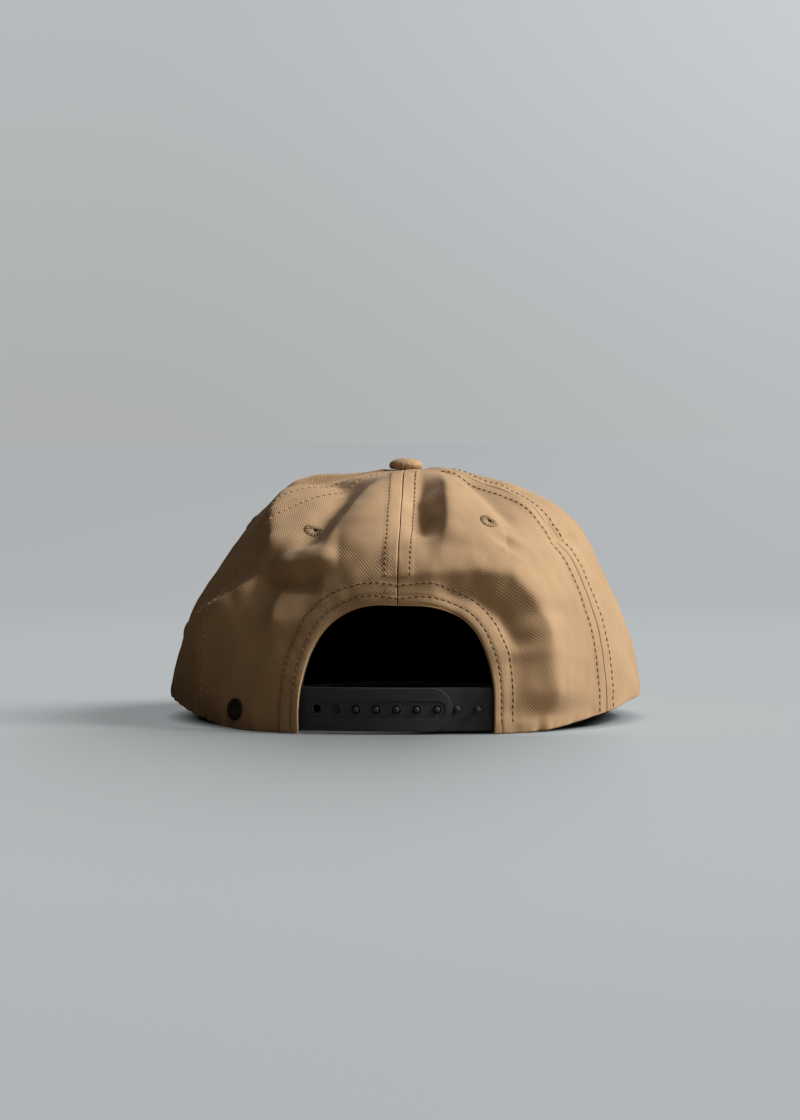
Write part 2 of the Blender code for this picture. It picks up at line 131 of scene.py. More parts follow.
CLOTH_THICKNESS = 0.9 * MM
EDGE_ROUND = 0.5 * MM
ARCH_SLUMP = 0.4
LEAN = 0.2  # how much fuller the crown's +X side is than its -X side
SEAM_ROW = 4.8 * MM  # from each seam to its topstitching
SEAM_ROW_TOP = math.radians(81.5)  # the rise where the topstitching goes in under the button
HEM_ROWS = (2.9 * MM, 7.4 * MM)  # from the back opening's edge
HEM_WIDTH = 8.2 * MM
EDGE_LIFT = 1.9 * MM  # how much the crown's edge curls up over the sweatband on the +X side
STITCH_LENGTH = 1.8 * MM
STITCH_GAP = 0.85 * MM
THREAD_RADIUS = 0.26 * MM

# Folds of the cloth: (turn, rise) points in degrees, height in mm (negative is a valley), and the
# width in mm on the left and on the right of the way along it, seen from outside.
FOLDS = (
    # the long valley from the button down past the left rear eyelet, and the ridge beside it
    (((-47, 77), (-42, 68), (-37.5, 60.5), (-35, 54), (-34.5, 48), (-34, 41.5)), -7.5, 12, 10),
    (((-15, 79), (-20, 67), (-21.5, 56), (-22.5, 48), (-24, 43)), 2.6, 15, 8),
    (((-70, 72), (-44, 69)), -1.6, 5, 5),
    # the swollen cloth round the left rear eyelet: its far edge, and the shelf that it ends in
    (((-88, 66), (-66, 56), (-49, 46.5), (-42, 39.5)), 6.6, 15, 8),
    (((-44, 38.5), (-33, 38), (-25, 39), (-18, 40)), 3.6, 13, 3.2),
    (((-48, 34), (-40, 34), (-31, 34.5), (-22, 35.5)), -4.5, 3.5, 9),
    # ridges on the left flank
    (((-80, 15), (-66, 21), (-52, 27.5), (-44, 36)), 4.4, 6, 9),
    (((-64, 12), (-56, 22), (-50, 29)), 2.6, 6, 6),
    (((-75, 26), (-60, 36), (-53, 46)), -2.4, 12, 9),
    (((-34, 34), (-35, 28), (-33, 20)), 3.0, 9, 6),
    # the valley beside the back seam on the right, and its ridge
    (((18, 78), (8.5, 66), (7.8, 56), (9.5, 45)), -7, 7, 9),
    (((34, 78), (21.5, 62), (18, 52), (14, 43)), 3.4, 10, 4.5),
    # creases fanning out from the button on the right
    (((54, 78), (47, 67), (43, 57), (42, 47)), -3.2, 8, 6),
    (((66, 72), (59, 60), (56, 50)), 1.2, 6, 5),
    # dents beside the right side seam
    (((62, 50), (61, 42)), -1.8, 4, 5),
    (((52, 42.5), (62, 42), (74, 43)), -1.8, 3.5, 5),
    (((37, 44), (33, 41)), -1.6, 5, 5),
    # the roll across the back above the opening, and the hollow that it turns down into
    (((-8, 35.5), (12, 35.5), (22, 35.5), (32, 33), (38, 25), (40, 16)), 4.4, 14, 7),
    (((38, 24), (39, 12), (39.5, 2)), 5.4, 12, 14),
    (((29.5, 16), (28.5, 8), (28.5, 1)), -1.6, 15, 5),
    (((9, 31), (15, 30.5), (22, 29), (28.5, 24), (30.5, 18), (31, 14)), -4.8, 7, 8),
    # soft shape of the whole crown
    (((-100, 66), (-80, 66)), 4.4, 22, 22),
    (((-120, 80), (-100, 80)), -3.0, 8, 8),
    (((72, 68), (88, 68)), 1.4, 17, 17),
    (((45, 80), (80, 80)), 1.2, 12, 12),
    (((60, 28), (105, 28)), -2.4, 22, 22),
    (((-104, 1), (-84, 2)), 2.4, 11, 11),
    (((-75, 34), (-95, 32)), -1.2, 16, 16),
    (((74, 1), (100, 1)), 1.4, 12, 12),
    # gentle folds that only the other sides show
    (((150, 70), (162, 48)), 1.1, 9, 12),
    (((205, 74), (196, 50)), -1.3, 12, 8),
    (((128, 58), (112, 36)), -1.4, 11, 8),
    (((232, 56), (250, 34)), 1.2, 10, 10),
    (((96, 60), (104, 40)), 1.0, 9, 7),
)


# ---------------------------------------------------------------- the crown's shape


def smooth_step(share):
    share = np.clip(share, 0, 1)
    return share * share * (3 - 2 * share)


def bell(distance, width):
    return np.exp(-((distance / width) ** 2))


def crease(distance, width):
    """Like bell, but with a sharper line and straighter sides, as folded cloth has."""
    return np.exp(-1.25 * (np.sqrt((distance / width) ** 2 + 0.05) - math.sqrt(0.05)))


def wrapped(turn):
    """The turn brought to within half a turn of the back seam."""
    return (np.asarray(turn) + math.pi) % (2 * math.pi) - math.pi


def oval(turn, inset=0.0):
    """(x, y) of the crown's outline in plan, about the crown's centre."""
    length = np.where(np.cos(turn) > 0, CROWN_REAR, CROWN_FRONT)
    return (CROWN_HALF_WIDTH - inset) * np.sin(turn), -(length - inset) * np.cos(turn)


def visor_edge(share, inset=0.0):
    """(x, y) on the visor's outer edge, from its -X corner at 0 to its +X corner at 1."""
    angle = math.pi * (1 - np.asarray(share, float))
    corner_y = oval(VISOR_TURN)[1] - 2 * MM
    reach = CROWN_FRONT + VISOR_REACH - corner_y
    power = 2 / VISOR_POWER
    across = np.sign(np.cos(angle)) * np.abs(np.cos(angle)) ** power
    along = np.abs(np.sin(angle)) ** power
    return (VISOR_HALF_WIDTH - inset) * across, corner_y + (reach - inset) * along


def visor_sag(x, y):
    return VISOR_ARCH * (1 - (x / VISOR_HALF_WIDTH) ** 2) - VISOR_DROOP * y


VISOR_LIFT = VISOR_THICKNESS - float(np.min(visor_sag(*visor_edge(np.linspace(0, 1, 101)))))


def visor_height(x, y):
    return VISOR_LIFT + visor_sag(x, y)


def edge_height(turn):
    """Height of the crown's bottom edge above the table."""
    away = np.abs(wrapped(turn))
    cloth_inset = 1.2 * MM
    corner = visor_height(*oval(VISOR_TURN, cloth_inset)) + GAP
    share = smooth_step((away - FLAT_TURN) / (VISOR_TURN - FLAT_TURN))
    beside = corner * share + SIDE_LIFT * 4 * share * (1 - share)
    return np.where(away >= VISOR_TURN, visor_height(*oval(away, cloth_inset)) + GAP, beside)


def dome_power(turn):
    return DOME_POWER + LEAN * np.sin(turn)


def dome_point(turn, rise, roundness):
    """A point of a superelliptic dome over the crown's outline, about the crown's centre."""
    turn, rise = np.broadcast_arrays(np.asarray(turn, float), np.asarray(rise, float))
    power = 2 / roundness
    spread = np.clip(np.cos(rise), 0, 1) ** power
    climb = np.clip(np.sin(rise), 0, 1) ** power
    x, y = oval(turn)
    low = edge_height(turn)
    return np.stack([x * spread, y * spread, low + (CROWN_TOP - low) * climb], -1)


def smooth_point(turn, rise):
    """The crown's outer surface before its folds."""
    return dome_point(turn, rise, dome_power(turn))


def cad_point(turn, rise):
    """The same in the CAD model, which doesn't lean."""
    return dome_point(turn, rise, DOME_POWER)


def unit(vectors):
    return vectors / np.maximum(np.linalg.norm(vectors, axis=-1, keepdims=True), 1e-12)


def slope_normal(surface, turn, rise, step=2e-3):
    turn, rise = np.broadcast_arrays(np.asarray(turn, float), np.asarray(rise, float))
    middle = np.clip(rise, step, math.pi / 2 - 2 * step)
    round_way = surface(turn + step, middle) - surface(turn - step, middle)
    up_way = surface(turn, middle + step) - surface(turn, middle - step)
    return unit(np.cross(round_way, up_way))


def smooth_normal(turn, rise):
    return slope_normal(smooth_point, turn, rise)


def rise_at(turn, height):
    low = edge_height(turn)
    climb = np.clip((height - low) / (CROWN_TOP - low), 0, 1)
    return np.arcsin(climb ** (dome_power(turn) / 2))


def back_place(x, height):
    """(turn, rise) of the point of the crown's back that is x off the back seam and this high."""
    turn = np.asarray(x, float) / CROWN_HALF_WIDTH
    for _ in range(6):
        rise = rise_at(turn, height)
        spread = np.cos(rise) ** (2 / dome_power(turn))
        turn = np.arcsin(np.clip(x / (CROWN_HALF_WIDTH * spread), -1, 1))
    return turn, rise_at(turn, height)


def arch_power(side):
    """The opening's -X shoulder has slumped a little rounder than the other."""
    return np.where(np.asarray(side) < 0, ARCH_POWER - ARCH_SLUMP, ARCH_POWER)


def arch_point(share, grow=0.0):
    """(x, height) round the back opening, from its -X foot at 0 to its +X foot at 1."""
    angle = math.pi * (1 - np.asarray(share, float))
    power = 2 / arch_power(np.cos(angle))
    across = np.sign(np.cos(angle)) * np.abs(np.cos(angle)) ** power
    up = np.abs(np.sin(angle)) ** power
    return (ARCH_HALF_WIDTH + grow) * across, (ARCH_HEIGHT + grow) * up


def arch_distance(points):
    """How far outside the back opening each point is, measured across its hem."""
    x, height = np.abs(points[..., 0]), np.maximum(points[..., 2], 0)
    power = arch_power(points[..., 0])
    grow = np.zeros_like(x)
    for _ in range(12):
        wide, tall = ARCH_HALF_WIDTH + grow, ARCH_HEIGHT + grow
        level = (x / wide) ** power + (height / tall) ** power
        fall = power * ((x / wide) ** power / wide + (height / tall) ** power / tall)
        grow = np.clip(grow + (level - 1) / np.maximum(fall, 1e-3), -20 * MM, 90 * MM)
    return np.where(points[..., 1] < 0, grow, 90 * MM)


def seam_distance(turn, points):
    """Distance from the nearest panel seam, positive on the side of growing turn."""
    radius = np.hypot(points[..., 0], points[..., 1])
    near = (np.asarray(turn) + PANEL_TURN / 2) % PANEL_TURN - PANEL_TURN / 2
    return near * radius


# ---------------------------------------------------------------- folds


class Fold:
    """A ridge or valley that follows a line over the crown and dies out at its ends."""

    def __init__(self, places, height, left, right):
        places = np.radians(np.array(places, float))
        steps = 6
        line = [
            places[i] + (places[i + 1] - places[i]) * s / steps
            for i in range(len(places) - 1)
            for s in range(steps)
        ]
        line = np.array([*line, places[-1]])
        self.points = smooth_point(line[:, 0], line[:, 1])
        along = unit(np.gradient(self.points, axis=0))
        normals = smooth_normal(line[:, 0], line[:, 1])
        self.leftward = unit(np.cross(normals, along))
        self.height, self.left, self.right = height * MM, left * MM, right * MM

    def lift(self, points):
        starts, ends = self.points[:-1], self.points[1:]
        spans = ends - starts
        offset = points[:, None, :] - starts[None]
        share = np.clip((offset * spans).sum(-1) / (spans**2).sum(-1), 0, 1)
        gap = offset - share[..., None] * spans
        distance = (gap**2).sum(-1)
        nearest = distance.argmin(1)
        row = np.arange(len(points))
        share, gap, distance = share[row, nearest], gap[row, nearest], distance[row, nearest]
        leftward = self.leftward[nearest] * (1 - share[:, None]) + self.leftward[nearest + 1] * share[:, None]
        across = (gap * unit(leftward)).sum(-1)
        beyond = np.sqrt(np.maximum(distance - across**2, 0))
        side = smooth_step(0.5 + across / (0.3 * (self.left + self.right)))
        width = self.right + (self.left - self.right) * side
        whole = (nearest + share) / len(spans)
        taper = 0.12 + 0.88 * smooth_step(whole * (1 - whole) * 5)
        return self.height * taper * crease(across, width) * bell(beyond, (self.left + self.right) / 2)


FOLD_LINES = [Fold(*fold) for fold in FOLDS]

rng = np.random.default_rng(11)
WAVES = [
    (unit(rng.normal(size=3)) * 2 * math.pi / length, rng.uniform(0, 2 * math.pi), height)
    for length, height, count in ((58 * MM, 0.26 * MM, 8), (21 * MM, 0.09 * MM, 9), (8 * MM, 0.025 * MM, 9))
    for length, height in [(length * scale, height) for scale in rng.uniform(0.8, 1.25, count)]
]


def unevenness(points):
    """Small waves that no cloth is without."""
    total = np.zeros(points.shape[:-1])
    for direction, phase, height in WAVES:
        total += height * np.sin(points @ direction + phase)
    return total


HEM_RIPPLES = 55  # in each radian round the back opening


def relief(turn, points):
    """What the sewing does to the surface: raised seams and hem, sunk stitch rows, puckers."""
    across = np.abs(seam_distance(turn, points))
    hem = arch_distance(points)
    height = points[..., 2]
    from_top = np.hypot(points[..., 0], points[..., 1])
    open_cloth = smooth_step((hem - HEM_WIDTH) / (1 * MM))
    strip = smooth_step((SEAM_ROW + 1.7 * MM - across) / (1.7 * MM))
    seam = 0.3 * MM * strip - 0.17 * MM * bell(across - SEAM_ROW, 0.55 * MM)
    run = points[..., 2] + 0.7 * from_top
    ripple = np.sin(run / (1.05 * MM)) + np.sin(run / (1.83 * MM) + 1.1)
    seam += 0.06 * MM * ripple * bell(across - SEAM_ROW, 2.2 * MM)
    seam *= open_cloth * smooth_step((from_top - 6 * MM) / (6 * MM))
    plate = 0.4 * MM * smooth_step((HEM_WIDTH - hem) / (0.8 * MM))
    for row in HEM_ROWS:
        plate -= 0.2 * MM * bell(hem - row, 0.5 * MM)
    ripple = np.sin(HEM_RIPPLES * np.arctan2(points[..., 2], points[..., 0]))
    plate += 0.05 * MM * ripple * bell(hem - 5 * MM, 4 * MM)
    away = np.degrees(wrapped(turn))
    scallop = np.sin(away * math.radians(360 / 6.2)) + 0.6 * np.sin(away * math.radians(360 / 3.7))
    gathered = 0.12 + 0.5 * bell(away - 32, 14) + 0.2 * bell(away + 50, 25)
    scallop = scallop * gathered * MM * np.exp(-np.maximum(height - edge_height(turn), 0) / (4 * MM))
    scallop *= smooth_step((hem - HEM_WIDTH) / (5 * MM)) * (np.abs(away) < 110)
    return seam + plate + scallop


TUCK = 5.4 * MM  # how far the cloth round the back opening draws in
TUCK_REACH = 7.5 * MM


def displacement(turn, points):
    flat = points.reshape(-1, 3)
    total = np.zeros(len(flat))
    for fold in FOLD_LINES:
        total += fold.lift(flat)
    total = total.reshape(points.shape[:-1])
    hem = arch_distance(points)
    height = points[..., 2]
    tuck = smooth_step((height - 12 * MM) / (26 * MM))
    total -= TUCK * np.exp(-np.maximum(hem, 0) / TUCK_REACH) * tuck
    held_by_hem = 1 - 0.35 * bell(hem, 7 * MM)
    over_visor = np.abs(wrapped(turn)) > math.radians(100)
    held_by_visor = np.where(over_visor, smooth_step((height - edge_height(turn)) / (14 * MM)), 1)
    under_button = smooth_step((np.hypot(points[..., 0], points[..., 1]) - 4 * MM) / (9 * MM))
    return (total * held_by_hem + unevenness(points)) * held_by_visor * under_button


def crown_point(turn, rise, depth=0.0, sewn=True):
    """A point of the folded crown, this deep under its outer surface, in the frame's own place."""
    turn, rise = np.broadcast_arrays(np.asarray(turn, float), np.asarray(rise, float))
    points = smooth_point(turn, rise)
    lift = displacement(turn, points)
    if sewn:
        lift = lift + relief(turn, points)
    moved = points + smooth_normal(turn, rise) * (lift - depth)[..., None]
    moved[..., 2] = np.maximum(moved[..., 2], 0.15 * MM)
    return moved + np.array([0, CENTRE_Y, 0])


def crown_normal(turn, rise):
    return slope_normal(lambda a, b: crown_point(a, b, 0.0, False), turn, rise, 6e-3)


# ---------------------------------------------------------------- mesh building

SHARP_ANGLE = math.radians(50)


def cloth_shell(outer, inner, keep=None):
    """(vertices, faces, whether each face is inside, grid point of each vertex) of a closed shell
    between two matching grids. Cells that keep leaves out become holes with walls."""
    rows, columns = outer.shape[:2]
    count = rows * columns
    index = np.arange(count).reshape(rows, columns)
    cells = np.stack([index[:-1, :-1], index[:-1, 1:], index[1:, 1:], index[1:, :-1]], -1)
    if keep is None:
        keep = np.ones(cells.shape[:2], bool)
    top = cells[keep]
    bottom = cells[keep][:, ::-1] + count
    padded = np.zeros((rows + 1, columns + 1), bool)
    padded[1:-1, 1:-1] = keep
    walls = []
    sides = (((-1, 0), (0, 1)), ((0, 1), (1, 2)), ((1, 0), (2, 3)), ((0, -1), (3, 0)))
    for (down, across), (start, end) in sides:
        other = padded[1 + down : rows + down, 1 + across : columns + across]
        edge = cells[keep & ~other]
        walls.append(
            np.stack([edge[:, end], edge[:, start], edge[:, start] + count, edge[:, end] + count], -1)
        )
    walls = np.concatenate(walls)
    vertices = np.concatenate([outer.reshape(-1, 3), inner.reshape(-1, 3)])
    faces = np.concatenate([top, bottom, walls])
    kind = np.concatenate([np.zeros(len(top)), np.ones(len(bottom)), np.zeros(len(walls))])
    used = np.unique(faces)
    remap = np.full(len(vertices), -1)
    remap[used] = np.arange(len(used))
    return vertices[used], remap[faces], kind.astype(int), used


def on_both_sides(values, used):
    """A grid's values, given to the points of both faces of its shell."""
    values = values.reshape(-1, *values.shape[2:])
    return np.concatenate([values, values])[used]


def new_object(name, vertices, faces, materials, kinds=None, uv=None, **shares):
    """shares are numbers from 0 to 1 at each vertex, such as wear, that the material reads."""
    mesh = bpy.data.meshes.new(name)
    mesh.from_pydata([tuple(v) for v in vertices], [], [tuple(int(i) for i in f) for f in faces])
    for material in materials:
        mesh.materials.append(material)
    if kinds is not None:
        mesh.polygons.foreach_set("material_index", np.asarray(kinds, np.int32))
    if uv is not None:
        layer = mesh.uv_layers.new(name="weave")
        corner = np.zeros(len(mesh.loops), np.int32)
        mesh.loops.foreach_get("vertex_index", corner)
        layer.data.foreach_set("uv", np.asarray(uv)[corner].astype(np.float32).ravel())
    for share_name, values in shares.items():
        attribute = mesh.attributes.new(share_name, "FLOAT", "POINT")
        attribute.data.foreach_set("value", np.asarray(values, np.float32))
    mesh.validate()
    made = bpy.data.objects.new(name, mesh)
    bpy.context.scene.collection.objects.link(made)
    editor = bmesh.new()
    editor.from_mesh(mesh)
    bmesh.ops.recalc_face_normals(editor, faces=editor.faces)
    editor.to_mesh(mesh)
    editor.free()
    mesh.shade_smooth()
    mesh.set_sharp_from_angle(angle=SHARP_ANGLE)
    return made


def finish_piece(piece, body, slot, *nodes):
    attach(piece, body)
    if nodes:
        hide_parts(*nodes)
    return piece


def run_along(points):
    """Length along a line of points, up to each of them."""
    return np.concatenate([[0], np.cumsum(np.linalg.norm(np.diff(points, axis=0), axis=1))])


def edge_spacing(length, fine, coarse, band=10 * MM):
    """Shares from 0 to 1, close together near both ends."""
    stops = [0, 0.06 * MM, 0.18 * MM, 0.36 * MM]
    while stops[-1] < length / 2:
        share = min(1, max(0, (stops[-1] - band * 0.7) / band))
        stops.append(stops[-1] + fine + (coarse - fine) * share)
    half = np.array(stops) / stops[-1] / 2
    return np.concatenate([half, 1 - half[-2::-1]])


def rounded_depth(distance, radius=EDGE_ROUND):
    inside = np.clip(1 - distance / radius, 0, 1)
    return radius * (1 - np.sqrt(1 - inside**2))


def lathe(profile, sides, wobble=None):
    """(vertices, faces) of a profile of (radius, height) points turned about +Z. Ends on the axis
    close the shape, and otherwise the profile is a closed loop."""
    profile = np.array(profile, float)
    closed_ends = profile[0, 0] < 1e-9 and profile[-1, 0] < 1e-9
    ring = profile[1:-1] if closed_ends else profile
    angles = np.arange(sides) * 2 * math.pi / sides
    radius = ring[:, 0][:, None] * np.ones(sides)
    height = ring[:, 1][:, None] * np.ones(sides)
    if wobble:
        radius, height = wobble(radius, height, angles[None, :])
    points = np.stack([radius * np.cos(angles), radius * np.sin(angles), height], -1)
    vertices = points.reshape(-1, 3).tolist()
    faces = []
    rings = len(ring)
    for row in range(rings - 1 if closed_ends else rings):
        after = (row + 1) % rings
        for side in range(sides):
            turn = (side + 1) % sides
            faces.append((row * sides + side, row * sides + turn, after * sides + turn, after * sides + side))
    if closed_ends:
        for end, row in ((0, 0), (-1, rings - 1)):
            vertices.append((0, 0, profile[end, 1]))
            tip = len(vertices) - 1
            faces += [(row * sides + s, row * sides + (s + 1) % sides, tip) for s in range(sides)]
    return np.array(vertices), faces


def stand(vertices, origin, axis):
    """Vertices turned so that their +Z lies along the axis, and set down at the origin."""
    turn = np.array(Vector(axis).to_track_quat("Z", "Y").to_matrix())
    return vertices @ turn.T + np.asarray(origin)


def joined(parts):
    """One (vertices, faces) from several."""
    vertices, faces, count = [], [], 0
    for some, those in parts:
        vertices.append(np.asarray(some))
        faces += [tuple(i + count for i in face) for face in those]
        count += len(some)
    return np.concatenate(vertices), faces


# ---------------------------------------------------------------- material building


class Nodes:
    """A short way to write the node tree of a material or a world."""

    def __init__(self, owner):
        owner.use_nodes = True
        self.owner = owner
        self.tree = owner.node_tree
        self.shader = self.tree.nodes.get("Principled BSDF")

    def add(self, kind, settings=(), **inputs):
        node = self.tree.nodes.new(kind)
        for key, value in dict(settings).items():
            setattr(node, key, value)
        for key, value in inputs.items():
            socket = node.inputs[int(key[1:])] if key[0] == "i" and key[1:].isdigit() else node.inputs[key]
            self.put(socket, value)
        return node

    def put(self, socket, value):
        if isinstance(value, bpy.types.NodeSocket):
            self.tree.links.new(value, socket)
        else:
            socket.default_value = value

    def place(self, space="Object"):
        return self.add("ShaderNodeTexCoord").outputs[space]

    def split(self, place):
        return self.add("ShaderNodeSeparateXYZ", Vector=place).outputs

    def attribute(self, name):
        return self.add("ShaderNodeAttribute", {"attribute_name": name}).outputs["Fac"]

    def scaled(self, vector, factor):
        node = self.add("ShaderNodeVectorMath", {"operation": "SCALE"}, Vector=vector, Scale=factor)
        return node.outputs[0]

    def math(self, operation, first, second=0.0):
        return self.add("ShaderNodeMath", {"operation": operation}, i0=first, i1=second).outputs[0]

    def times(self, first, second):
        return self.math("MULTIPLY", first, second)

    def plus(self, first, second):
        return self.math("ADD", first, second)

    def wave(self, turns):
        return self.math("SINE", self.times(turns, 2 * math.pi))

    def noise(self, place, scale, detail=2.0, roughness=0.5):
        node = self.add("ShaderNodeTexNoise", Vector=place, Scale=scale, Detail=detail, Roughness=roughness)
        return node.outputs["Fac"]

    def mix(self, share, first, second):
        return self.add("ShaderNodeMix", {"data_type": "RGBA"}, i0=share, i6=first, i7=second).outputs[2]

    def map_range(self, value, low, high, new_low=0, new_high=1, kind="LINEAR"):
        settings = {"interpolation_type": kind}
        node = self.add("ShaderNodeMapRange", settings, i0=value, i1=low, i2=high, i3=new_low, i4=new_high)
        return node.outputs[0]

    def from_noise(self, noise, new_low, new_high):
        """Noise, which keeps near its middle, spread out to a range."""
        return self.map_range(noise, 0.3, 0.7, new_low, new_high)

    def bump(self, height, distance, strength):
        node = self.add("ShaderNodeBump", Height=height, Distance=distance, Strength=strength)
        return node.outputs["Normal"]

    def principled(self, colour, roughness, normal=None, **constants):
        self.put(self.shader.inputs["Base Color"], colour)
        self.put(self.shader.inputs["Roughness"], roughness)
        if normal is not None:
            self.put(self.shader.inputs["Normal"], normal)
        for name, value in constants.items():
            self.shader.inputs[name.replace("_", " ")].default_value = value
        return self.owner

    def by_ray(self, seen, bounced):
        """One shader that the camera sees, and another that lights the cap."""
        path = self.add("ShaderNodeLightPath")
        choose = self.add("ShaderNodeMixShader", i0=path.outputs["Is Camera Ray"], i1=bounced, i2=seen)
        return choose.outputs[0]


def new_material(name):
    return Nodes(bpy.data.materials.new(name))


def shade(colour, factor):
    return (*(min(1.0, part * factor) for part in colour), 1)


TWILL_COLOUR = (0.47, 0.325, 0.2)


def twill_material(name, colour, pitch=0.86, angle=-47, flat_uv=True):
    """Cotton twill: diagonal ribs crossed by fine threads, with slubs, fuzz and faded edges."""
    nodes = new_material(name)
    place = nodes.scaled(nodes.place("UV" if flat_uv else "Object"), 1 / MM)
    turned = nodes.add("ShaderNodeVectorRotate", {"rotation_type": "Z_AXIS"}, Vector=place)
    turned.inputs["Angle"].default_value = math.radians(angle)
    across, along, _up = nodes.split(turned.outputs[0])
    drift = nodes.from_noise(nodes.noise(place, 0.12, 1), -0.3, 0.3)
    rib_count = nodes.math("DIVIDE", nodes.plus(across, drift), pitch)
    rib = nodes.map_range(nodes.wave(rib_count), -1, 1)
    half_step = nodes.times(nodes.math("FLOOR", rib_count), 0.5)
    thread = nodes.plus(nodes.math("DIVIDE", along, pitch * 0.62), half_step)
    thread = nodes.map_range(nodes.wave(thread), -1, 1, 0.72, 1)
    weave = nodes.times(rib, thread)
    slub = nodes.noise(turned.outputs[0], 0.9, 4, 0.6)
    fuzz = nodes.noise(place, 2.6, 2, 0.7)
    patch = nodes.noise(place, 0.035, 3, 0.55)
    tone = nodes.plus(nodes.times(weave, 0.52), nodes.times(slub, 0.38))
    tone = nodes.plus(tone, nodes.times(fuzz, 0.25))
    tone = nodes.map_range(tone, 0.2, 0.95)
    cloth = nodes.mix(tone, shade(colour, 0.8), shade(colour, 1.16))
    cloth = nodes.scaled(cloth, nodes.from_noise(patch, 0.93, 1.06))
    cloth = nodes.mix(nodes.times(nodes.attribute("wear"), 0.25), cloth, shade(colour, 1.4))
    # painted shade: darker along the sunk seam and hem stitch rows, where shade falls in the grooves
    cloth = nodes.mix(nodes.times(nodes.attribute("groove"), 0.42), cloth, shade(colour, 0.3))
    normal = nodes.bump(nodes.plus(weave, nodes.times(fuzz, 0.35)), 0.14 * MM, 0.5)
    roughness = nodes.from_noise(fuzz, 0.82, 0.96)
    return nodes.principled(
        cloth, roughness, normal, Sheen_Weight=0.12, Sheen_Roughness=0.5, Specular_IOR_Level=0.25
    )


def thread_material(name, colour):
    nodes = new_material(name)
    twist = nodes.noise(nodes.place(), 2600, 2, 0.6)
    tone = nodes.mix(twist, shade(colour, 0.7), shade(colour, 1.25))
    # painted shade between an eyelet's threads and round its rim
    tone = nodes.mix(nodes.attribute("groove"), tone, shade(colour, 0.3))
    normal = nodes.bump(twist, 0.06 * MM, 0.6)
    return nodes.principled(tone, 0.75, normal, Sheen_Weight=0.1, Specular_IOR_Level=0.3)


def woven_material(name, colour, pitch, sheen=0.1):
    """Plain weave, for the inside cloths, seen in the object's own space."""
    nodes = new_material(name)
    place = nodes.place()
    first, second, third = (nodes.wave(nodes.times(part, 1 / pitch)) for part in nodes.split(place))
    weave = nodes.map_range(nodes.times(nodes.plus(first, second), third), -1, 1)
    fuzz = nodes.noise(place, 1800, 3, 0.6)
    tone = nodes.plus(nodes.times(weave, 0.5), nodes.times(fuzz, 0.5))
    cloth = nodes.mix(tone, shade(colour, 0.5), shade(colour, 1.5))
    normal = nodes.bump(tone, 0.12 * MM, 0.6)
    return nodes.principled(cloth, 0.9, normal, Sheen_Weight=sheen, Specular_IOR_Level=0.25)


def plastic_material():
    """Moulded black plastic with a fine satin grain and faint flow marks."""
    nodes = new_material("moulded_black_plastic")
    grain = nodes.noise(nodes.place(), 3200, 2, 0.6)
    flow = nodes.noise(nodes.place(), 90, 3, 0.5)
    colour = nodes.mix(flow, (0.050, 0.054, 0.067, 1), (0.078, 0.083, 0.100, 1))
    normal = nodes.bump(grain, 0.03 * MM, 0.45)
    return nodes.principled(colour, nodes.from_noise(flow, 0.5, 0.62), normal, Specular_IOR_Level=0.28)


def gunmetal_material():
    """Dark metal, stained and brushed round."""
    nodes = new_material("dark_gunmetal")
    stretch = nodes.add("ShaderNodeMapping", Vector=nodes.place())
    stretch.inputs["Scale"].default_value = (1, 1, 0.12)
    brush = nodes.noise(stretch.outputs[0], 2400, 4, 0.7)
    stain = nodes.noise(nodes.place(), 420, 3, 0.6)
    colour = nodes.mix(stain, (0.028, 0.027, 0.027, 1), (0.085, 0.08, 0.076, 1))
    normal = nodes.bump(brush, 0.03 * MM, 0.5)
    return nodes.principled(colour, nodes.from_noise(brush, 0.34, 0.58), normal, Metallic=0.85)


def mottled_material(name, scale, dark, light, roughness, grain, **constants):
    """A hidden piece's finish: one noise that shifts its colour, its gloss and its surface."""
    nodes = new_material(name)
    mottle = nodes.noise(nodes.place(), scale, 3, 0.6)
    colour = nodes.mix(mottle, shade(dark, 1), shade(light, 1))
    normal = nodes.bump(mottle, grain, 0.4)
    return nodes.principled(colour, nodes.from_noise(mottle, *roughness), normal, **constants)


TWILL = twill_material("tan_twill", TWILL_COLOUR)
BUTTON_TWILL = twill_material("tan_twill_button", TWILL_COLOUR, flat_uv=False)
# thread a little darker than the cloth, and darker still as painted shade of the sunk stitch holes
THREAD = thread_material("tan_thread", (0.32, 0.205, 0.112))
# a paler copy of the same thread for the left side seam, on the shaded side: painted light that lifts its
# stitches' dark dashes
PALE_THREAD = thread_material("paler_tan_thread", (0.5, 0.36, 0.22))
EYELET_THREAD = thread_material("tan_eyelet_thread", (0.5, 0.36, 0.225))
BLACK_THREAD = thread_material("black_thread", (0.02, 0.02, 0.022))
# near-black cloth on the insides of the panels and on the visor's tucked edge: painted shade for the dark
# inside of the crown
INSIDE_PAINTED_SHADE = woven_material("black_lining", (0.008, 0.008, 0.009), 1.1 * MM, sheen=0.0)
TAPE_CLOTH = woven_material("black_tape_cloth", (0.014, 0.014, 0.016), 0.9 * MM)
BAND_CLOTH = woven_material("black_sweatband_cloth", (0.010, 0.010, 0.012), 0.7 * MM)
BAND_LINING = woven_material("sweatband_stiffener", (0.035, 0.035, 0.037), 1.4 * MM)
PLASTIC = plastic_material()
GUNMETAL = gunmetal_material()
ZINC = mottled_material(
    "plated_zinc", 900, (0.42, 0.42, 0.43), (0.62, 0.62, 0.63), (0.28, 0.5), 0.02 * MM, Metallic=1.0
)
BOARD = mottled_material(
    "visor_board_plastic", 120, (0.62, 0.61, 0.57), (0.76, 0.75, 0.71), (0.4, 0.6), 0.05 * MM
)


# ---------------------------------------------------------------- crown panels

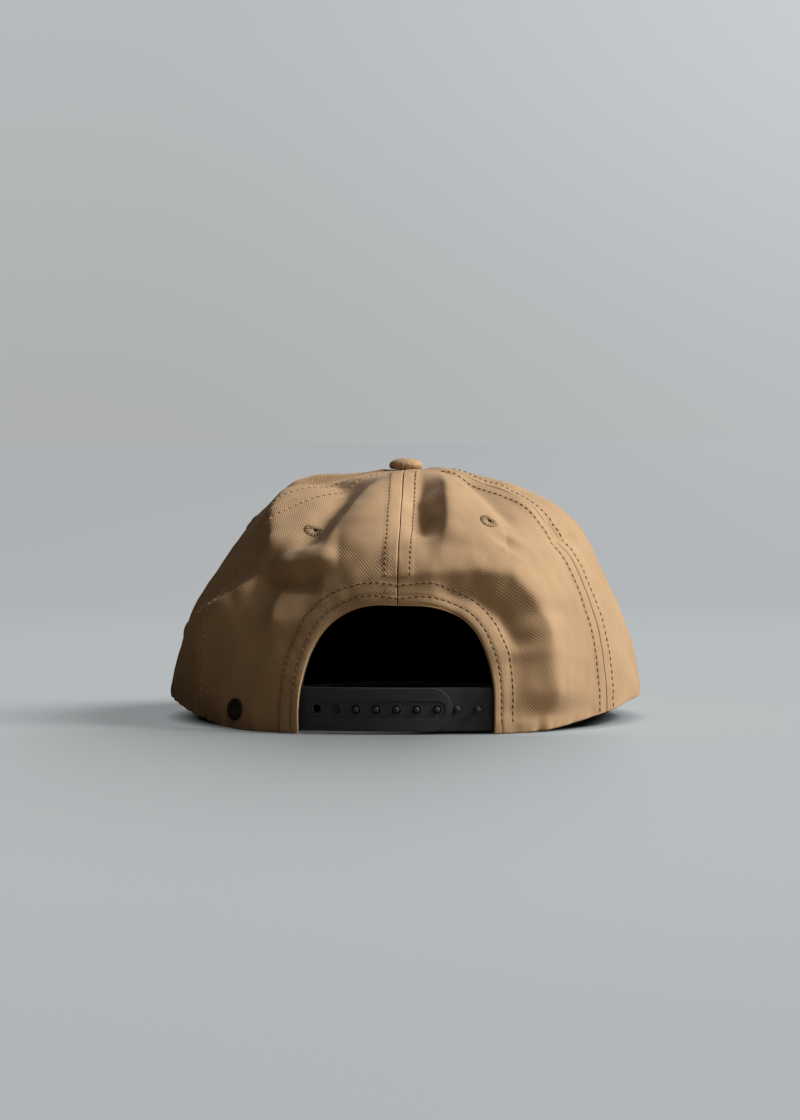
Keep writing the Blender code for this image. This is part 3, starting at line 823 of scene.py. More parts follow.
PANEL_WIDTH = 100 * MM
ROW_SHADE = 0.45 * MM  # half the width of the line of painted shade along a sunk stitch row
EYELET_OPENING = 1.9 * MM
# how far folds have pulled an eyelet round the crown, in degrees, and up it
EYELET_SHIFTS = {"rear_left": (-6.8, 2.2 * MM), "rear_right": (3, 2.8 * MM)}


def bottom_rise(turn):
    """Where the cloth's edge is. On the +X side it curls up and shows the sweatband."""
    away = np.degrees(wrapped(turn))
    lift = EDGE_LIFT * smooth_step((away - 28) / 22) * smooth_step((108 - away) / 20)
    return rise_at(turn, edge_height(turn) + lift)


def top_rise(turn):
    return np.arccos((TOP_HOLE_RADIUS / CROWN_HALF_WIDTH) ** (dome_power(turn) / 2))


def between_edges(turn, share):
    """The rise at a share of the way up the cloth."""
    low, high = bottom_rise(turn), top_rise(turn)
    return low + (high - low) * share


def seam_margin(turn, rise):
    """The turn that takes up half the hairline between two panels."""
    return GAP / 2 / (CROWN_HALF_WIDTH * np.maximum(np.cos(rise), 1e-3) ** (2 / dome_power(turn)))


def panel_turn(index, share, rise):
    """The turn at a share of the way across a panel, a hairline short of its seams."""
    margin = seam_margin((index + 0.5) * PANEL_TURN, rise)
    return index * PANEL_TURN + margin + (PANEL_TURN - 2 * margin) * share


def meridian(turn, steps=400):
    """(rise, length from the bottom edge) along a line up the crown."""
    rise = np.linspace(0, math.pi / 2, steps)
    return rise, run_along(smooth_point(np.full(steps, turn), rise))


def whole_panel_places(index, coarseness):
    """(turn, rise) grids of a panel that runs right down to the crown's edge."""
    rises, lengths = meridian((index + 0.5) * PANEL_TURN)
    rows = edge_spacing(lengths[-1], 0.6 * MM * coarseness, 1.25 * MM * coarseness)
    columns = edge_spacing(PANEL_WIDTH, 0.5 * MM * coarseness, 1.25 * MM * coarseness)
    share = np.broadcast_to(columns[None, :], (len(rows), len(columns)))
    way = np.interp(rows * lengths[-1], lengths, rises) / (math.pi / 2)
    turn = index * PANEL_TURN + PANEL_TURN * share
    rise = between_edges(turn, way[:, None])
    return panel_turn(index, share, rise), rise


SHOULDER = 0.5  # share of the opening's edge whose lines run to the side seam, and not to the top


def rear_panel_places(side):
    """(turn, rise) grids of a rear panel, ruled from the back opening out to the side seam. One
    way runs up the opening's edge to the back seam, the other out across the panel."""
    outline = 0.5 + side * np.linspace(0, 0.5, 400)
    x, height = arch_point(outline)
    length = run_along(np.stack([x, height], -1))
    up = edge_spacing(140 * MM, 0.5 * MM, 1.2 * MM)
    out = edge_spacing(66 * MM, 0.4 * MM, 1.0 * MM)
    order = 1 - up
    arch_x = np.interp(order * length[-1], length, x)
    arch_height = np.interp(order * length[-1], length, height)
    arch_turn, arch_rise = back_place(arch_x, arch_height)
    arch_share = np.abs(arch_turn) / PANEL_TURN
    rises, lengths = meridian(side * PANEL_TURN)
    seam_rise = np.interp(np.minimum(up / SHOULDER, 1) * lengths[-1], lengths, rises)
    pole = np.minimum(1, arch_share / np.interp(SHOULDER, up, arch_share))
    share = arch_share[:, None] * (1 - out) + pole[:, None] * out
    rise = arch_rise[:, None] * (1 - out) + seam_rise[:, None] * out
    turn = side * PANEL_TURN * share
    rise = between_edges(turn, rise / (math.pi / 2))
    margin = seam_margin(turn, rise)
    return side * np.clip(share * PANEL_TURN, margin, PANEL_TURN - margin), rise


def make_panel(index):
    """One gore: a closed shell with rounded edges, open at its eyelet."""
    name = PANELS[index]
    rear = name.startswith("rear")
    if rear:
        turn, rise = rear_panel_places(1 if index == 0 else -1)
    else:
        turn, rise = whole_panel_places(index, 1.15 if name.startswith("side") else 1.5)
    base = smooth_point(turn, rise)
    seam = np.abs(seam_distance(turn, base)) - GAP / 2
    rises, lengths = meridian(float(np.mean(turn)))
    run = np.interp(rise, rises, lengths)
    foot = run - np.interp(bottom_rise(turn), rises, lengths)
    hem = arch_distance(base) if rear else np.full_like(seam, 1.0)
    depth = rounded_depth(seam, 0.32 * MM) + rounded_depth(foot) + rounded_depth(hem)
    depth = np.minimum(depth, CLOTH_THICKNESS * 0.7)
    outer = crown_point(turn, rise, depth)
    inner = crown_point(turn, rise, CLOTH_THICKNESS)
    middles = (outer[:-1, :-1] + outer[1:, 1:]) / 2
    hole = crown_point(*eyelet_place(index))
    keep = np.linalg.norm(middles - hole, axis=-1) > EYELET_OPENING
    vertices, faces, kinds, used = cloth_shell(outer, inner, keep)
    middle = (index + 0.5) * PANEL_TURN
    flat = np.stack([wrapped(turn - middle) * np.hypot(base[..., 0], base[..., 1]), run], -1)
    flat = on_both_sides(flat, used)
    wear = np.maximum(bell(hem, 0.8 * MM), 0.7 * bell(seam, 0.5 * MM))
    wear = np.maximum(wear, 0.6 * bell(foot, 0.8 * MM))
    # painted shade along the sunk seam rows and the hem rows
    groove = 0.2 * bell(seam + GAP / 2 - SEAM_ROW, ROW_SHADE) * (hem > HEM_WIDTH)
    for row in HEM_ROWS:
        groove = np.maximum(groove, bell(hem - row, ROW_SHADE) * rear)
    shares = {"wear": on_both_sides(wear, used), "groove": on_both_sides(groove, used)}
    made = new_object(f"panel_{name}_cloth", vertices, faces, (TWILL, INSIDE_PAINTED_SHADE), kinds, flat, **shares)
    finish_piece(made, "crown", "twill", f"panel_{name}")


def eyelet_place(index):
    round_way, up_way = EYELET_SHIFTS.get(PANELS[index], (0, 0))
    turn = wrapped((index + 0.5) * PANEL_TURN) + math.radians(round_way)
    return turn, rise_at(turn, EYELET_HEIGHT + up_way)


# ---------------------------------------------------------------- stitching


# Along one stitch: how far along it is, how high its middle stands in mm, and how thick it is
STITCH_SHARES = (0, 0.06, 0.2, 0.5, 0.8, 0.94, 1)
STITCH_LIFTS = (-0.32, 0.0, 0.16, 0.2, 0.16, 0.0, -0.32)
STITCH_SIZES = (0.35, 0.85, 1, 1.05, 1, 0.85, 0.35)


def stitch_row(points, normals, length=STITCH_LENGTH, gap=STITCH_GAP, sunk=0.0):
    """Short lengths of thread that dive into the cloth at both ends, along a line on it."""
    run = run_along(points)
    shares = np.array(STITCH_SHARES)
    lifts = np.array(STITCH_LIFTS) * MM - sunk
    sizes = np.array(STITCH_SIZES) * THREAD_RADIUS
    sides = 7
    angles = np.arange(sides) * 2 * math.pi / sides
    parts = []
    for start in np.arange(gap, run[-1] - length, length + gap):
        at = start + shares * length * rng.uniform(0.93, 1.0)
        middle = np.stack([np.interp(at, run, points[:, axis]) for axis in range(3)], -1)
        up = unit(np.stack([np.interp(at, run, normals[:, axis]) for axis in range(3)], -1))
        along = unit(np.gradient(middle, axis=0))
        across = unit(np.cross(up, along))
        middle = middle + up * lifts[:, None] + across * rng.uniform(-0.05, 0.05) * MM
        ring = across[:, None] * np.cos(angles)[None, :, None] + up[:, None] * np.sin(angles)[None, :, None]
        vertices = (middle[:, None] + ring * sizes[:, None, None]).reshape(-1, 3)
        parts.append((vertices, tube_faces(len(shares), sides)))
    return parts


def tube_faces(rings, sides):
    """Faces of a tube of this many rings, closed at both ends."""
    faces = []
    for low in range(0, (rings - 1) * sides, sides):
        high = low + sides
        for side in range(sides):
            after = (side + 1) % sides
            faces.append((low + side, low + after, high + after, high + side))
    faces.append(tuple(range(sides))[::-1])
    faces.append(tuple(range((rings - 1) * sides, rings * sides)))
    return faces


def sew(name, parts, thread):
    """One piece of all the stitches in a place."""
    vertices, faces = joined(parts)
    made = new_object(f"stitches_{name}", vertices, faces, (thread,))
    return finish_piece(made, "crown", "thread")


def crown_row(turn, rise, **settings):
    return stitch_row(crown_point(turn, rise), crown_normal(turn, rise), **settings)


def make_seam_stitches(index):
    """Two rows of topstitching, one on each side of the seam before this panel."""
    parts = []
    seam_turn = index * PANEL_TURN
    start = ARCH_HEIGHT + HEM_WIDTH
    if index:
        start = float(edge_height(seam_turn)) + EDGE_LIFT
    first = float(rise_at(seam_turn, start + 0.4 * MM))
    rise = np.linspace(first, SEAM_ROW_TOP, 420)
    radius = np.hypot(*np.moveaxis(smooth_point(seam_turn, rise), -1, 0)[:2])
    for side in (-1, 1):
        turn = seam_turn + side * np.minimum(SEAM_ROW / radius, PANEL_TURN * 0.48)
        parts += crown_row(turn, rise)
    name = SEAMS[index]
    return sew(f"{name}_seam", parts, PALE_THREAD if name == "side_left" else THREAD)


def make_hem_stitches():
    """Two rows round the back opening."""
    parts = []
    share = np.linspace(0.004, 0.996, 700)
    for grow in HEM_ROWS:
        x, height = arch_point(share, grow)
        dip = 1.0 * MM * bell(x, 7 * MM)
        turn, rise = back_place(x, np.maximum(height - dip, 0.5 * MM))
        parts += crown_row(turn, rise)
    return sew("back_opening", parts, THREAD)


# ---------------------------------------------------------------- small pieces on the crown


def draped(vertices, place):
    """Flat-lying vertices laid on the crown round a place, their height standing off its surface."""
    turn, rise = (float(part) for part in place)
    step = 1e-3
    radius = np.hypot(*smooth_point(turn, rise)[:2])
    climb = np.linalg.norm(smooth_point(turn, rise + step) - smooth_point(turn, rise - step)) / (2 * step)
    return crown_point(turn + vertices[:, 0] / radius, rise + vertices[:, 1] / climb, -vertices[:, 2])


EYELET_HOLE = 0.8 * MM
EYELET_LOOPS = 18  # threads round the ring
THREAD_SLANT = 350  # how much they lean on the way out, in radians of the wave for each metre


def thread_wave(angle, radius):
    """From 0 between two threads to 1 on top of one."""
    return np.abs(np.sin(angle * EYELET_LOOPS / 2 + radius * THREAD_SLANT))


def make_eyelet(index):
    """A buttonhole-stitched ring: a low torus of radial thread loops round the vent hole."""
    inner, outer = EYELET_HOLE, EYELET_RADIUS
    profile = []
    for share in np.linspace(0, 1, 13):
        swell = math.sin(math.pi * min(1, 0.12 + 0.88 * share)) ** 0.6
        profile.append((inner + (outer - inner) * share, 0.75 * MM * swell - 0.12 * MM))
    profile += [(outer, -0.35 * MM), (inner + 0.25 * MM, -0.9 * MM), (inner, -0.6 * MM)]
    sides = EYELET_LOOPS * 6
    jitter = rng.uniform(0.75, 1.15, sides)
    jitter = np.convolve(np.concatenate([jitter, jitter[:4]]), np.ones(5) / 5, "valid")

    def threads(radius, height, angle):
        top = height > 0
        height = height + top * 0.38 * MM * (thread_wave(angle, radius) - 0.6) * jitter[None, :]
        radius = radius * (1 + top * 0.12 * (jitter[None, :] - 1) * (radius > 3 * MM))
        return radius, height

    vertices, faces = lathe(profile, sides, threads)
    radius = np.hypot(vertices[:, 0], vertices[:, 1])
    # painted shade: darker between the threads and round the ring's outer rim
    between = 1.2 - 2.0 * thread_wave(np.arctan2(vertices[:, 1], vertices[:, 0]), radius)
    rim = smooth_step((radius - outer + 0.7 * MM) / (0.6 * MM))
    groove = np.clip(between + rim, 0, 1)
    name = PANELS[index]
    laid = draped(vertices, eyelet_place(index))
    made = new_object(f"eyelet_{name}_embroidery", laid, faces, (EYELET_THREAD,), groove=groove)
    return finish_piece(made, "crown", "thread", f"eyelet_{name}")


BUTTON_EDGE, BUTTON_HIGH, BUTTON_LOW = 1.7 * MM, 4.7 * MM, 0.2 * MM  # above the crown's top


def make_button():
    """The covered button, its cloth drawn into small pleats under the rim."""
    profile = [(0, BUTTON_LOW + 0.1 * MM)]
    profile += [(BUTTON_RADIUS * 0.55, BUTTON_LOW), (BUTTON_RADIUS * 0.86, BUTTON_LOW)]
    profile += [(BUTTON_RADIUS * 0.97, 0.8 * MM)]
    for angle in np.linspace(0, math.pi / 2, 19)[:-1]:
        climb = (BUTTON_HIGH - BUTTON_EDGE) * math.sin(angle) ** 0.95
        profile.append((BUTTON_RADIUS * math.cos(angle) ** 0.86, BUTTON_EDGE + climb))
    profile.append((0, BUTTON_HIGH))

    def pleats(radius, height, angle):
        near_rim = smooth_step((radius - 4.6 * MM) / (2 * MM))
        wave = np.sin(angle * 17) + 0.6 * np.sin(angle * 29 + 1)
        return radius + 0.07 * MM * wave * near_rim, height + 0.05 * MM * np.sin(angle * 5 + 2) * near_rim

    vertices, faces = lathe(profile, 96, pleats)
    wear = bell(np.hypot(vertices[:, 0], vertices[:, 1]) - BUTTON_RADIUS, 0.8 * MM) * 0.5
    vertices = vertices + np.array([0, CENTRE_Y, CROWN_TOP])
    made = new_object("button_cover_cloth", vertices, faces, (BUTTON_TWILL,), wear=wear)
    return finish_piece(made, "crown", "twill", "button_cover")


RIVET_PROFILE = (  # (radius, height) in mm, from the middle of its foot to the middle of its face
    (0, -2.6), (1.3, -2.6), (1.3, -0.15), (4.0, -0.15), (4.35, 0.1), (4.42, 0.45), (4.3, 0.8),
    (4.05, 0.98), (3.75, 1.0), (3.5, 0.9), (3.35, 0.86), (3.1, 0.95), (2.6, 1.12), (2.0, 1.26),
    (1.3, 1.37), (0.6, 1.42), (0, 1.43),
)


def make_rivet():
    """A dark stud with a raised rim, a sunk ring and a shallow brushed dome."""
    place = (RIVET_TURN, rise_at(RIVET_TURN, RIVET_HEIGHT))
    origin, normal = crown_point(*place, 0.0, False), crown_normal(*place)
    vertices, faces = lathe(np.array(RIVET_PROFILE) * MM, 72)
    made = new_object("rivet_stud_turned", stand(vertices, origin, normal), faces, (GUNMETAL,))
    return finish_piece(made, "crown", "rivet_metal", "rivet_stud")


# ---------------------------------------------------------------- inside the crown


def make_layer(node, turn, rise, depth, thickness, material, slot):
    """A strip of cloth under the crown's surface, given by grids of places."""
    outer = crown_point(turn, rise, depth, False)
    inner = crown_point(turn, rise, depth + thickness, False)
    vertices, faces, _kinds, _used = cloth_shell(outer, inner)
    made = new_object(f"{node}_cloth", vertices, faces, (material,))
    finish_piece(made, "crown", slot, node)


BAND_PEEK = 1.5 * MM  # how far the sweatband has slipped down where the crown's edge curls up
BAND_THICKNESS = 0.7 * MM
FACING_THICKNESS = 0.5 * MM
TAPE_THICKNESS = 0.6 * MM


def make_band(node, depth, material, slot):
    """A band round the crown's inside, its ends short of the back opening."""
    turn = np.linspace(SWEATBAND_END_TURN, 2 * math.pi - SWEATBAND_END_TURN, 241)[:, None]
    away = np.degrees(wrapped(turn))
    drop = BAND_PEEK * smooth_step((away - 22) / 12) * smooth_step((108 - away) / 20)
    low = edge_height(turn) + SWEATBAND_LIFT - drop
    rise = rise_at(turn, low + SWEATBAND_HEIGHT * np.linspace(0, 1, 10)[None, :])
    make_layer(node, np.broadcast_to(turn, rise.shape), rise, depth, BAND_THICKNESS, material, slot)


def make_band_stitches():
    """A row near each edge of the sweatband, on the side that the wearer sees."""
    end = SWEATBAND_END_TURN + 0.05
    turn = np.linspace(end, 2 * math.pi - end, 900)
    parts = []
    for share in (0.08, 0.93):
        rise = rise_at(turn, edge_height(turn) + SWEATBAND_LIFT + SWEATBAND_HEIGHT * share)
        inside = crown_point(turn, rise, SWEATBAND_DEPTH + BAND_THICKNESS + 0.02 * MM, False)
        parts += stitch_row(inside, -smooth_normal(turn, rise), length=3 * MM, gap=1.2 * MM)
    return sew("sweatband", parts, BLACK_THREAD)


POLE_REACH = 9 * MM  # so near the crown's top, a tape's width is laid out in plan


def make_tape(order):
    """A strip over two opposite seams on the inside, passing over the top."""
    turn = order * PANEL_TURN
    start_height = ARCH_HEIGHT + FACING_WIDTH + 2 * MM
    if order:
        start_height = float(edge_height(turn)) + TAPE_LIFT
    start = float(rise_at(turn, start_height))
    other = turn + math.pi
    end = math.pi - float(rise_at(other, float(edge_height(other)) + TAPE_LIFT))
    swing = np.linspace(start, end, 131)[:, None]
    over = swing > math.pi / 2
    side = np.where(over, -1, 1)
    rise = np.where(over, math.pi - swing, swing)
    middle = smooth_point(np.where(over, other, turn), rise)
    reach = np.hypot(middle[..., 0], middle[..., 1])
    across = TAPE_WIDTH * np.array([-0.5, -0.42, -0.25, 0, 0.25, 0.42, 0.5])[None, :]
    swerve = np.where(reach > POLE_REACH, np.arctan2(across, np.maximum(reach, POLE_REACH)), 0)
    here = np.where(over, other, turn) + side * swerve
    rise = np.broadcast_to(rise, here.shape)
    depth = TAPE_DEPTH + order * TAPE_STACK * smooth_step((24 * MM - reach) / (14 * MM))
    shift = np.where(reach > POLE_REACH, 0, across)
    sideways = shift[..., None] * np.array([math.cos(turn), math.sin(turn), 0.0])
    outer = crown_point(here, rise, depth, False) + sideways
    inner = crown_point(here, rise, depth + TAPE_THICKNESS, False) + sideways
    vertices, faces, _kinds, _used = cloth_shell(outer, inner)
    name = ("back_front", "right", "left")[order]
    made = new_object(f"seam_tape_{name}_cloth", vertices, faces, (TAPE_CLOTH,))
    finish_piece(made, "crown", "seam_tape", f"seam_tape_{name}")


def make_facing():
    """The strip that lines the back opening's hem."""
    share = np.linspace(0.002, 0.998, 181)
    turns, rises = [], []
    for grow in np.linspace(GAP, FACING_WIDTH, 6):
        x, height = arch_point(share, grow)
        turn, rise = back_place(x, np.maximum(height, 0.6 * MM))
        turns.append(turn)
        rises.append(rise)
    turn, rise = np.array(turns).T, np.array(rises).T
    make_layer("arch_facing", turn, rise, FACING_DEPTH, FACING_THICKNESS, TAPE_CLOTH, "twill")


# ---------------------------------------------------------------- visor


ALLOWANCE = 0.4 * MM  # the seam allowance under the visor's cover lifts it up to the crown's edge
VISOR_ROWS = tuple((5 + 7.5 * row) * MM for row in range(6))  # stitched this far from its edge
VISOR_CLOTH = 0.7 * MM  # thickness of each cover


def visor_turn(share):
    """The turn of the crown's edge across from a place on the visor's outer edge."""
    return 2 * math.pi - VISOR_TURN - 2 * (math.pi - VISOR_TURN) * share


def visor_grid(depth_of, lifted):
    """A grid of points over the visor from under the crown's edge to its outer edge."""
    shares = np.linspace(0, 1, 161)
    near = np.stack(oval(visor_turn(shares), VISOR_TUCK), -1)
    far = np.stack(visor_edge(shares), -1)
    ways = 1 - (1 - np.linspace(0, 1, 60)) ** 1.6
    line = near[:, None] * (1 - ways[None, :, None]) + far[:, None] * ways[None, :, None]
    length = np.linalg.norm(far - near, axis=-1)[:, None]
    from_edge = (1 - ways)[None, :] * length
    from_crown = ways[None, :] * length - VISOR_TUCK
    height = visor_height(line[..., 0], line[..., 1]) - depth_of(from_edge)
    height = height + ALLOWANCE * smooth_step((7 * MM - from_crown) / (5 * MM)) * lifted
    points = np.concatenate([line, height[..., None]], -1)
    return points + np.array([0, CENTRE_Y, 0]), line


def make_visor_cover(top):
    """One cover of the visor. Its edge rolls over to meet the other cover half way down."""
    node = "visor_top_cover" if top else "visor_under_cover"
    half = VISOR_THICKNESS / 2
    board = half - VISOR_CLOTH
    sign = 1 if top else -1

    def outer_depth(distance):
        grooves = sum(bell(distance - row, 0.6 * MM) for row in VISOR_ROWS) * 0.22 * MM * (distance > 3 * MM)
        return half - sign * (half - rounded_depth(distance, half - 0.05 * MM) - grooves)

    def inner_depth(distance):
        return half - sign * np.maximum(board - rounded_depth(distance, board), 0.03 * MM)

    outer, plan = visor_grid(outer_depth, top)
    inner, _plan = visor_grid(inner_depth, False)
    vertices, faces, _kinds, used = cloth_shell(outer, inner)
    # the cover's edge tucked under the crown gets the near-black painted shade
    tucked = used[faces] % outer.shape[1] <= 2
    kinds = tucked.all(1).astype(int)
    wear = np.zeros(outer.shape[:2])
    wear[:, -3:] = 0.8
    flat, wear = on_both_sides(plan, used), on_both_sides(wear, used)
    made = new_object(f"{node}_cloth", vertices, faces, (TWILL, INSIDE_PAINTED_SHADE), kinds, flat, wear=wear)
    finish_piece(made, "crown", "visor_twill", node)


def make_visor_stitches(top):
    """The visor's rows of stitches on one side, each ending a little short of the crown."""
    parts = []
    shares = np.linspace(0.03, 0.97, 700)
    for row in VISOR_ROWS:
        far = np.stack(visor_edge(shares, row), -1)
        near = np.stack(oval(visor_turn(shares)), -1)
        clear = np.linalg.norm(far, axis=-1) > np.linalg.norm(near, axis=-1) + 2 * MM
        x, y = far[clear].T
        depth = 0.0 if top else VISOR_THICKNESS
        points = np.stack([x, y + CENTRE_Y, visor_height(x, y) - depth], -1)
        normals = np.tile([0, 0, 1.0 if top else -1.0], (len(points), 1))
        if len(points) > 3:
            parts += stitch_row(points, normals, length=2.8 * MM, gap=0.7 * MM, sunk=0.06 * MM)
    return sew("visor_top" if top else "visor_under", parts, THREAD)


# ---------------------------------------------------------------- snap closure


def strap_arc():
    """(y of the straps' arc centre, length of arc from the middle to the hinge)."""
    rise = math.asin((STRAP_HEIGHT / CROWN_TOP) ** (DOME_POWER / 2))
    turn = math.asin(ARCH_HALF_WIDTH / (CROWN_HALF_WIDTH * math.cos(rise) ** (2 / DOME_POWER)))
    x, y, _height = cad_point(turn, rise) - slope_normal(cad_point, turn, rise, 1e-3) * STRAP_TAB_DEPTH
    centre_y = CENTRE_Y + y + math.sqrt(STRAP_RADIUS**2 - x**2)
    return centre_y, STRAP_RADIUS * math.asin(x / STRAP_RADIUS)


STRAP_CENTRE_Y, STRAP_REACH = strap_arc()


def strap_point(along, height, depth):
    """Points this far along the straps' arc, at this height off its middle, and this deep. Past
    the hinge the strap goes on inside the crown, under its surface."""
    along = np.asarray(along, float)
    held = np.clip(along, -STRAP_REACH, STRAP_REACH)
    angle = held / STRAP_RADIUS
    radius = STRAP_RADIUS - depth
    beyond = along - held
    direction = np.sign(along)
    slant = direction * STRAP_REACH / STRAP_RADIUS * 1.28
    x = radius * np.sin(angle) + beyond * np.cos(slant)
    y = STRAP_CENTRE_Y - radius * np.cos(angle) + np.abs(beyond) * np.sin(np.abs(slant)) * 1.08
    return np.stack([x, y, STRAP_HEIGHT + height], -1)


def peg_depth(along):
    return (STRAP_THICKNESS + GAP) * smooth_step((STRAP_REACH - along) / PEG_RAMP)


def stadium(start, end, half, steps=28):
    """Outline of (along, height) points, with a square end at start and a round one at end."""
    way = 1 if end > start else -1
    corner = end - way * half
    turns = [math.pi / 2 - math.pi * step / steps for step in range(steps + 1)]
    curve = [(corner + way * half * math.cos(turn), half * math.sin(turn)) for turn in turns]
    return [(start, half), *curve, (start, -half)]


def circle(along, radius, sides=40):
    """A hole's outline, drawn the other way round from the outline it is in."""
    angles = [2 * math.pi * step / sides for step in range(sides)]
    return [(along + radius * math.cos(a), radius * math.sin(a)) for a in angles]


def plate(outlines, thickness, bevel):
    """(vertices, faces) of a flat plate with holes and softened edges, cut finely enough to bend."""
    curve = bpy.data.curves.new("plate", "CURVE")
    curve.dimensions = "2D"
    curve.fill_mode = "BOTH"
    curve.extrude = thickness / 2 - bevel
    curve.bevel_depth = bevel
    curve.bevel_resolution = 2
    curve.offset = -bevel
    for outline in outlines:
        spline = curve.splines.new("POLY")
        spline.points.add(len(outline) - 1)
        for point, (x, y) in zip(spline.points, outline):
            point.co = (x, y, 0, 1)
        spline.use_cyclic_u = True
    holder = bpy.data.objects.new("plate", curve)
    bpy.context.scene.collection.objects.link(holder)
    bpy.context.view_layer.update()
    mesh = bpy.data.meshes.new_from_object(holder.evaluated_get(bpy.context.evaluated_depsgraph_get()))
    editor = bmesh.new()
    editor.from_mesh(mesh)
    bmesh.ops.remove_doubles(editor, verts=editor.verts, dist=0.004 * MM)
    low = min(vertex.co.x for vertex in editor.verts)
    high = max(vertex.co.x for vertex in editor.verts)
    for step in range(1, int((high - low) / (1.6 * MM))):
        geometry = [*editor.verts, *editor.edges, *editor.faces]
        place = (low + step * 1.6 * MM, 0, 0)
        bmesh.ops.bisect_plane(editor, geom=geometry, plane_co=place, plane_no=(1, 0, 0), dist=1e-6)
    bmesh.ops.triangulate(editor, faces=[face for face in editor.faces if len(face.verts) > 4])
    vertices = np.array([tuple(vertex.co) for vertex in editor.verts])
    editor.verts.ensure_lookup_table()
    editor.verts.index_update()
    faces = [tuple(vertex.index for vertex in face.verts) for face in editor.faces]
    editor.free()
    bpy.data.objects.remove(holder)
    bpy.data.meshes.remove(mesh)
    return vertices, faces


def bent(part, front, extra=lambda along: 0.0):
    """A flat plate wrapped onto the straps' arc, its front face this deep."""
    vertices, faces = part
    depth = front - vertices[:, 2] + vertices[:, 2].max() + extra(vertices[:, 0])
    return strap_point(vertices[:, 0], vertices[:, 1], depth), faces


# Turned outlines in mm, (distance out, height): the raised ring from a hole's edge, and a peg
HOLE_RING = ((0.62, 0.0), (0.42, 0.13), (0.2, 0.13), (0.06, -0.04), (0.4, -0.2))
PEG_PROFILE = (
    (0, -0.5), (1.42, -0.5), (1.38, 0.05), (1.12, 0.3), (0.98, 0.7), (1.0, 1.1), (1.12, 1.5),
    (1.14, 1.75), (1.05, 2.0), (0.82, 2.18), (0.45, 2.27), (0, 2.3),
)


def make_hole_strap():
    """The strap with a sunk channel and ringed holes, and its tab inside the crown."""
    start = -STRAP_REACH - STRAP_TAB_LENGTH
    outline = stadium(start, HOLE_STRAP_END, STRAP_HALF_HEIGHT)
    low, high = CHANNEL_ENDS
    channel = stadium(low, high, CHANNEL_HALF_HEIGHT, 20)[::-1]
    holes = [circle(FIRST_HOLE + step * SNAP_PITCH, HOLE_RADIUS) for step in range(SNAP_COUNT)]
    floor = plate([outline, *holes], STRAP_THICKNESS - CHANNEL_DEPTH, 0.16 * MM)
    face = plate([outline, channel], CHANNEL_DEPTH + 0.15 * MM, 0.12 * MM)
    parts = [bent(floor, CHANNEL_DEPTH), bent(face, 0.0)]
    for step in range(SNAP_COUNT):
        vertices, faces = lathe([(HOLE_RADIUS + out * MM, height * MM) for out, height in HOLE_RING], 40)
        x, y, height = vertices.T
        along = FIRST_HOLE + step * SNAP_PITCH
        parts.append((strap_point(along + x, y, CHANNEL_DEPTH - height), faces))
    vertices, faces = joined(parts)
    made = new_object("hole_strap_moulded", vertices, faces, (PLASTIC,))
    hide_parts("hole_strap", "hole_strap_tab")
    blend_strap(made)


def make_peg_strap():
    """The strap that carries the pegs, stepping in behind the other one."""
    start = STRAP_REACH + STRAP_TAB_LENGTH
    outline = stadium(start, PEG_STRAP_END, STRAP_HALF_HEIGHT)[::-1]
    parts = [bent(plate([outline], STRAP_THICKNESS, 0.18 * MM), 0.0, peg_depth)]
    for step in range(SNAP_COUNT):
        along = FIRST_PEG + step * SNAP_PITCH
        vertices, faces = lathe(np.array(PEG_PROFILE) * MM, 28)
        angle = along / STRAP_RADIUS
        foot = strap_point(along, 0.0, float(peg_depth(along)))
        parts.append((stand(vertices, foot, (math.sin(angle), -math.cos(angle), 0)), faces))
    vertices, faces = joined(parts)
    made = new_object("peg_strap_moulded", vertices, faces, (PLASTIC,))
    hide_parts("peg_strap", "peg_strap_tab")
    blend_strap(made)


def blend_strap(made):
    """Bakes the strap's placement into its mesh."""
    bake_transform(made)


# ---------------------------------------------------------------- studio


# The table's colour on the left and on the right, near the cap and far from it: lighter on the right, towards
# the key light, and near the cap, as painted light. It also colours the table's glow
FLOOR_NEAR = ((0.203, 0.214, 0.220, 1), (0.234, 0.246, 0.255, 1))
FLOOR_FAR = ((0.199, 0.206, 0.213, 1), (0.217, 0.229, 0.238, 1))
FLOOR_GLOW = 1.24  # how strongly the table glows, as painted light, outside its painted shade round the cap
FLOOR_BOUNCE = (0.24, 0.205, 0.15, 1)  # what the table throws back at the cap
BLACK = (0, 0, 0, 1)


def painted_front_shade(nodes, x, y):
    """Painted shade on the table in front of the cap: a mask that takes its glow away there, fading out
    forwards and to both sides.
    """
    on_left = nodes.map_range(x, -0.17, -0.03, 0, 0.9)
    on_right = nodes.map_range(x, 0.005, 0.095, 1, 0)
    in_front = nodes.map_range(y, -0.095, -0.13)
    forwards = nodes.math("DIVIDE", nodes.math("SUBTRACT", -0.14, y), 0.1)
    fading = nodes.math("POWER", 0.5, nodes.math("MAXIMUM", forwards, 0))
    return nodes.times(nodes.times(fading, in_front), nodes.times(on_left, on_right))


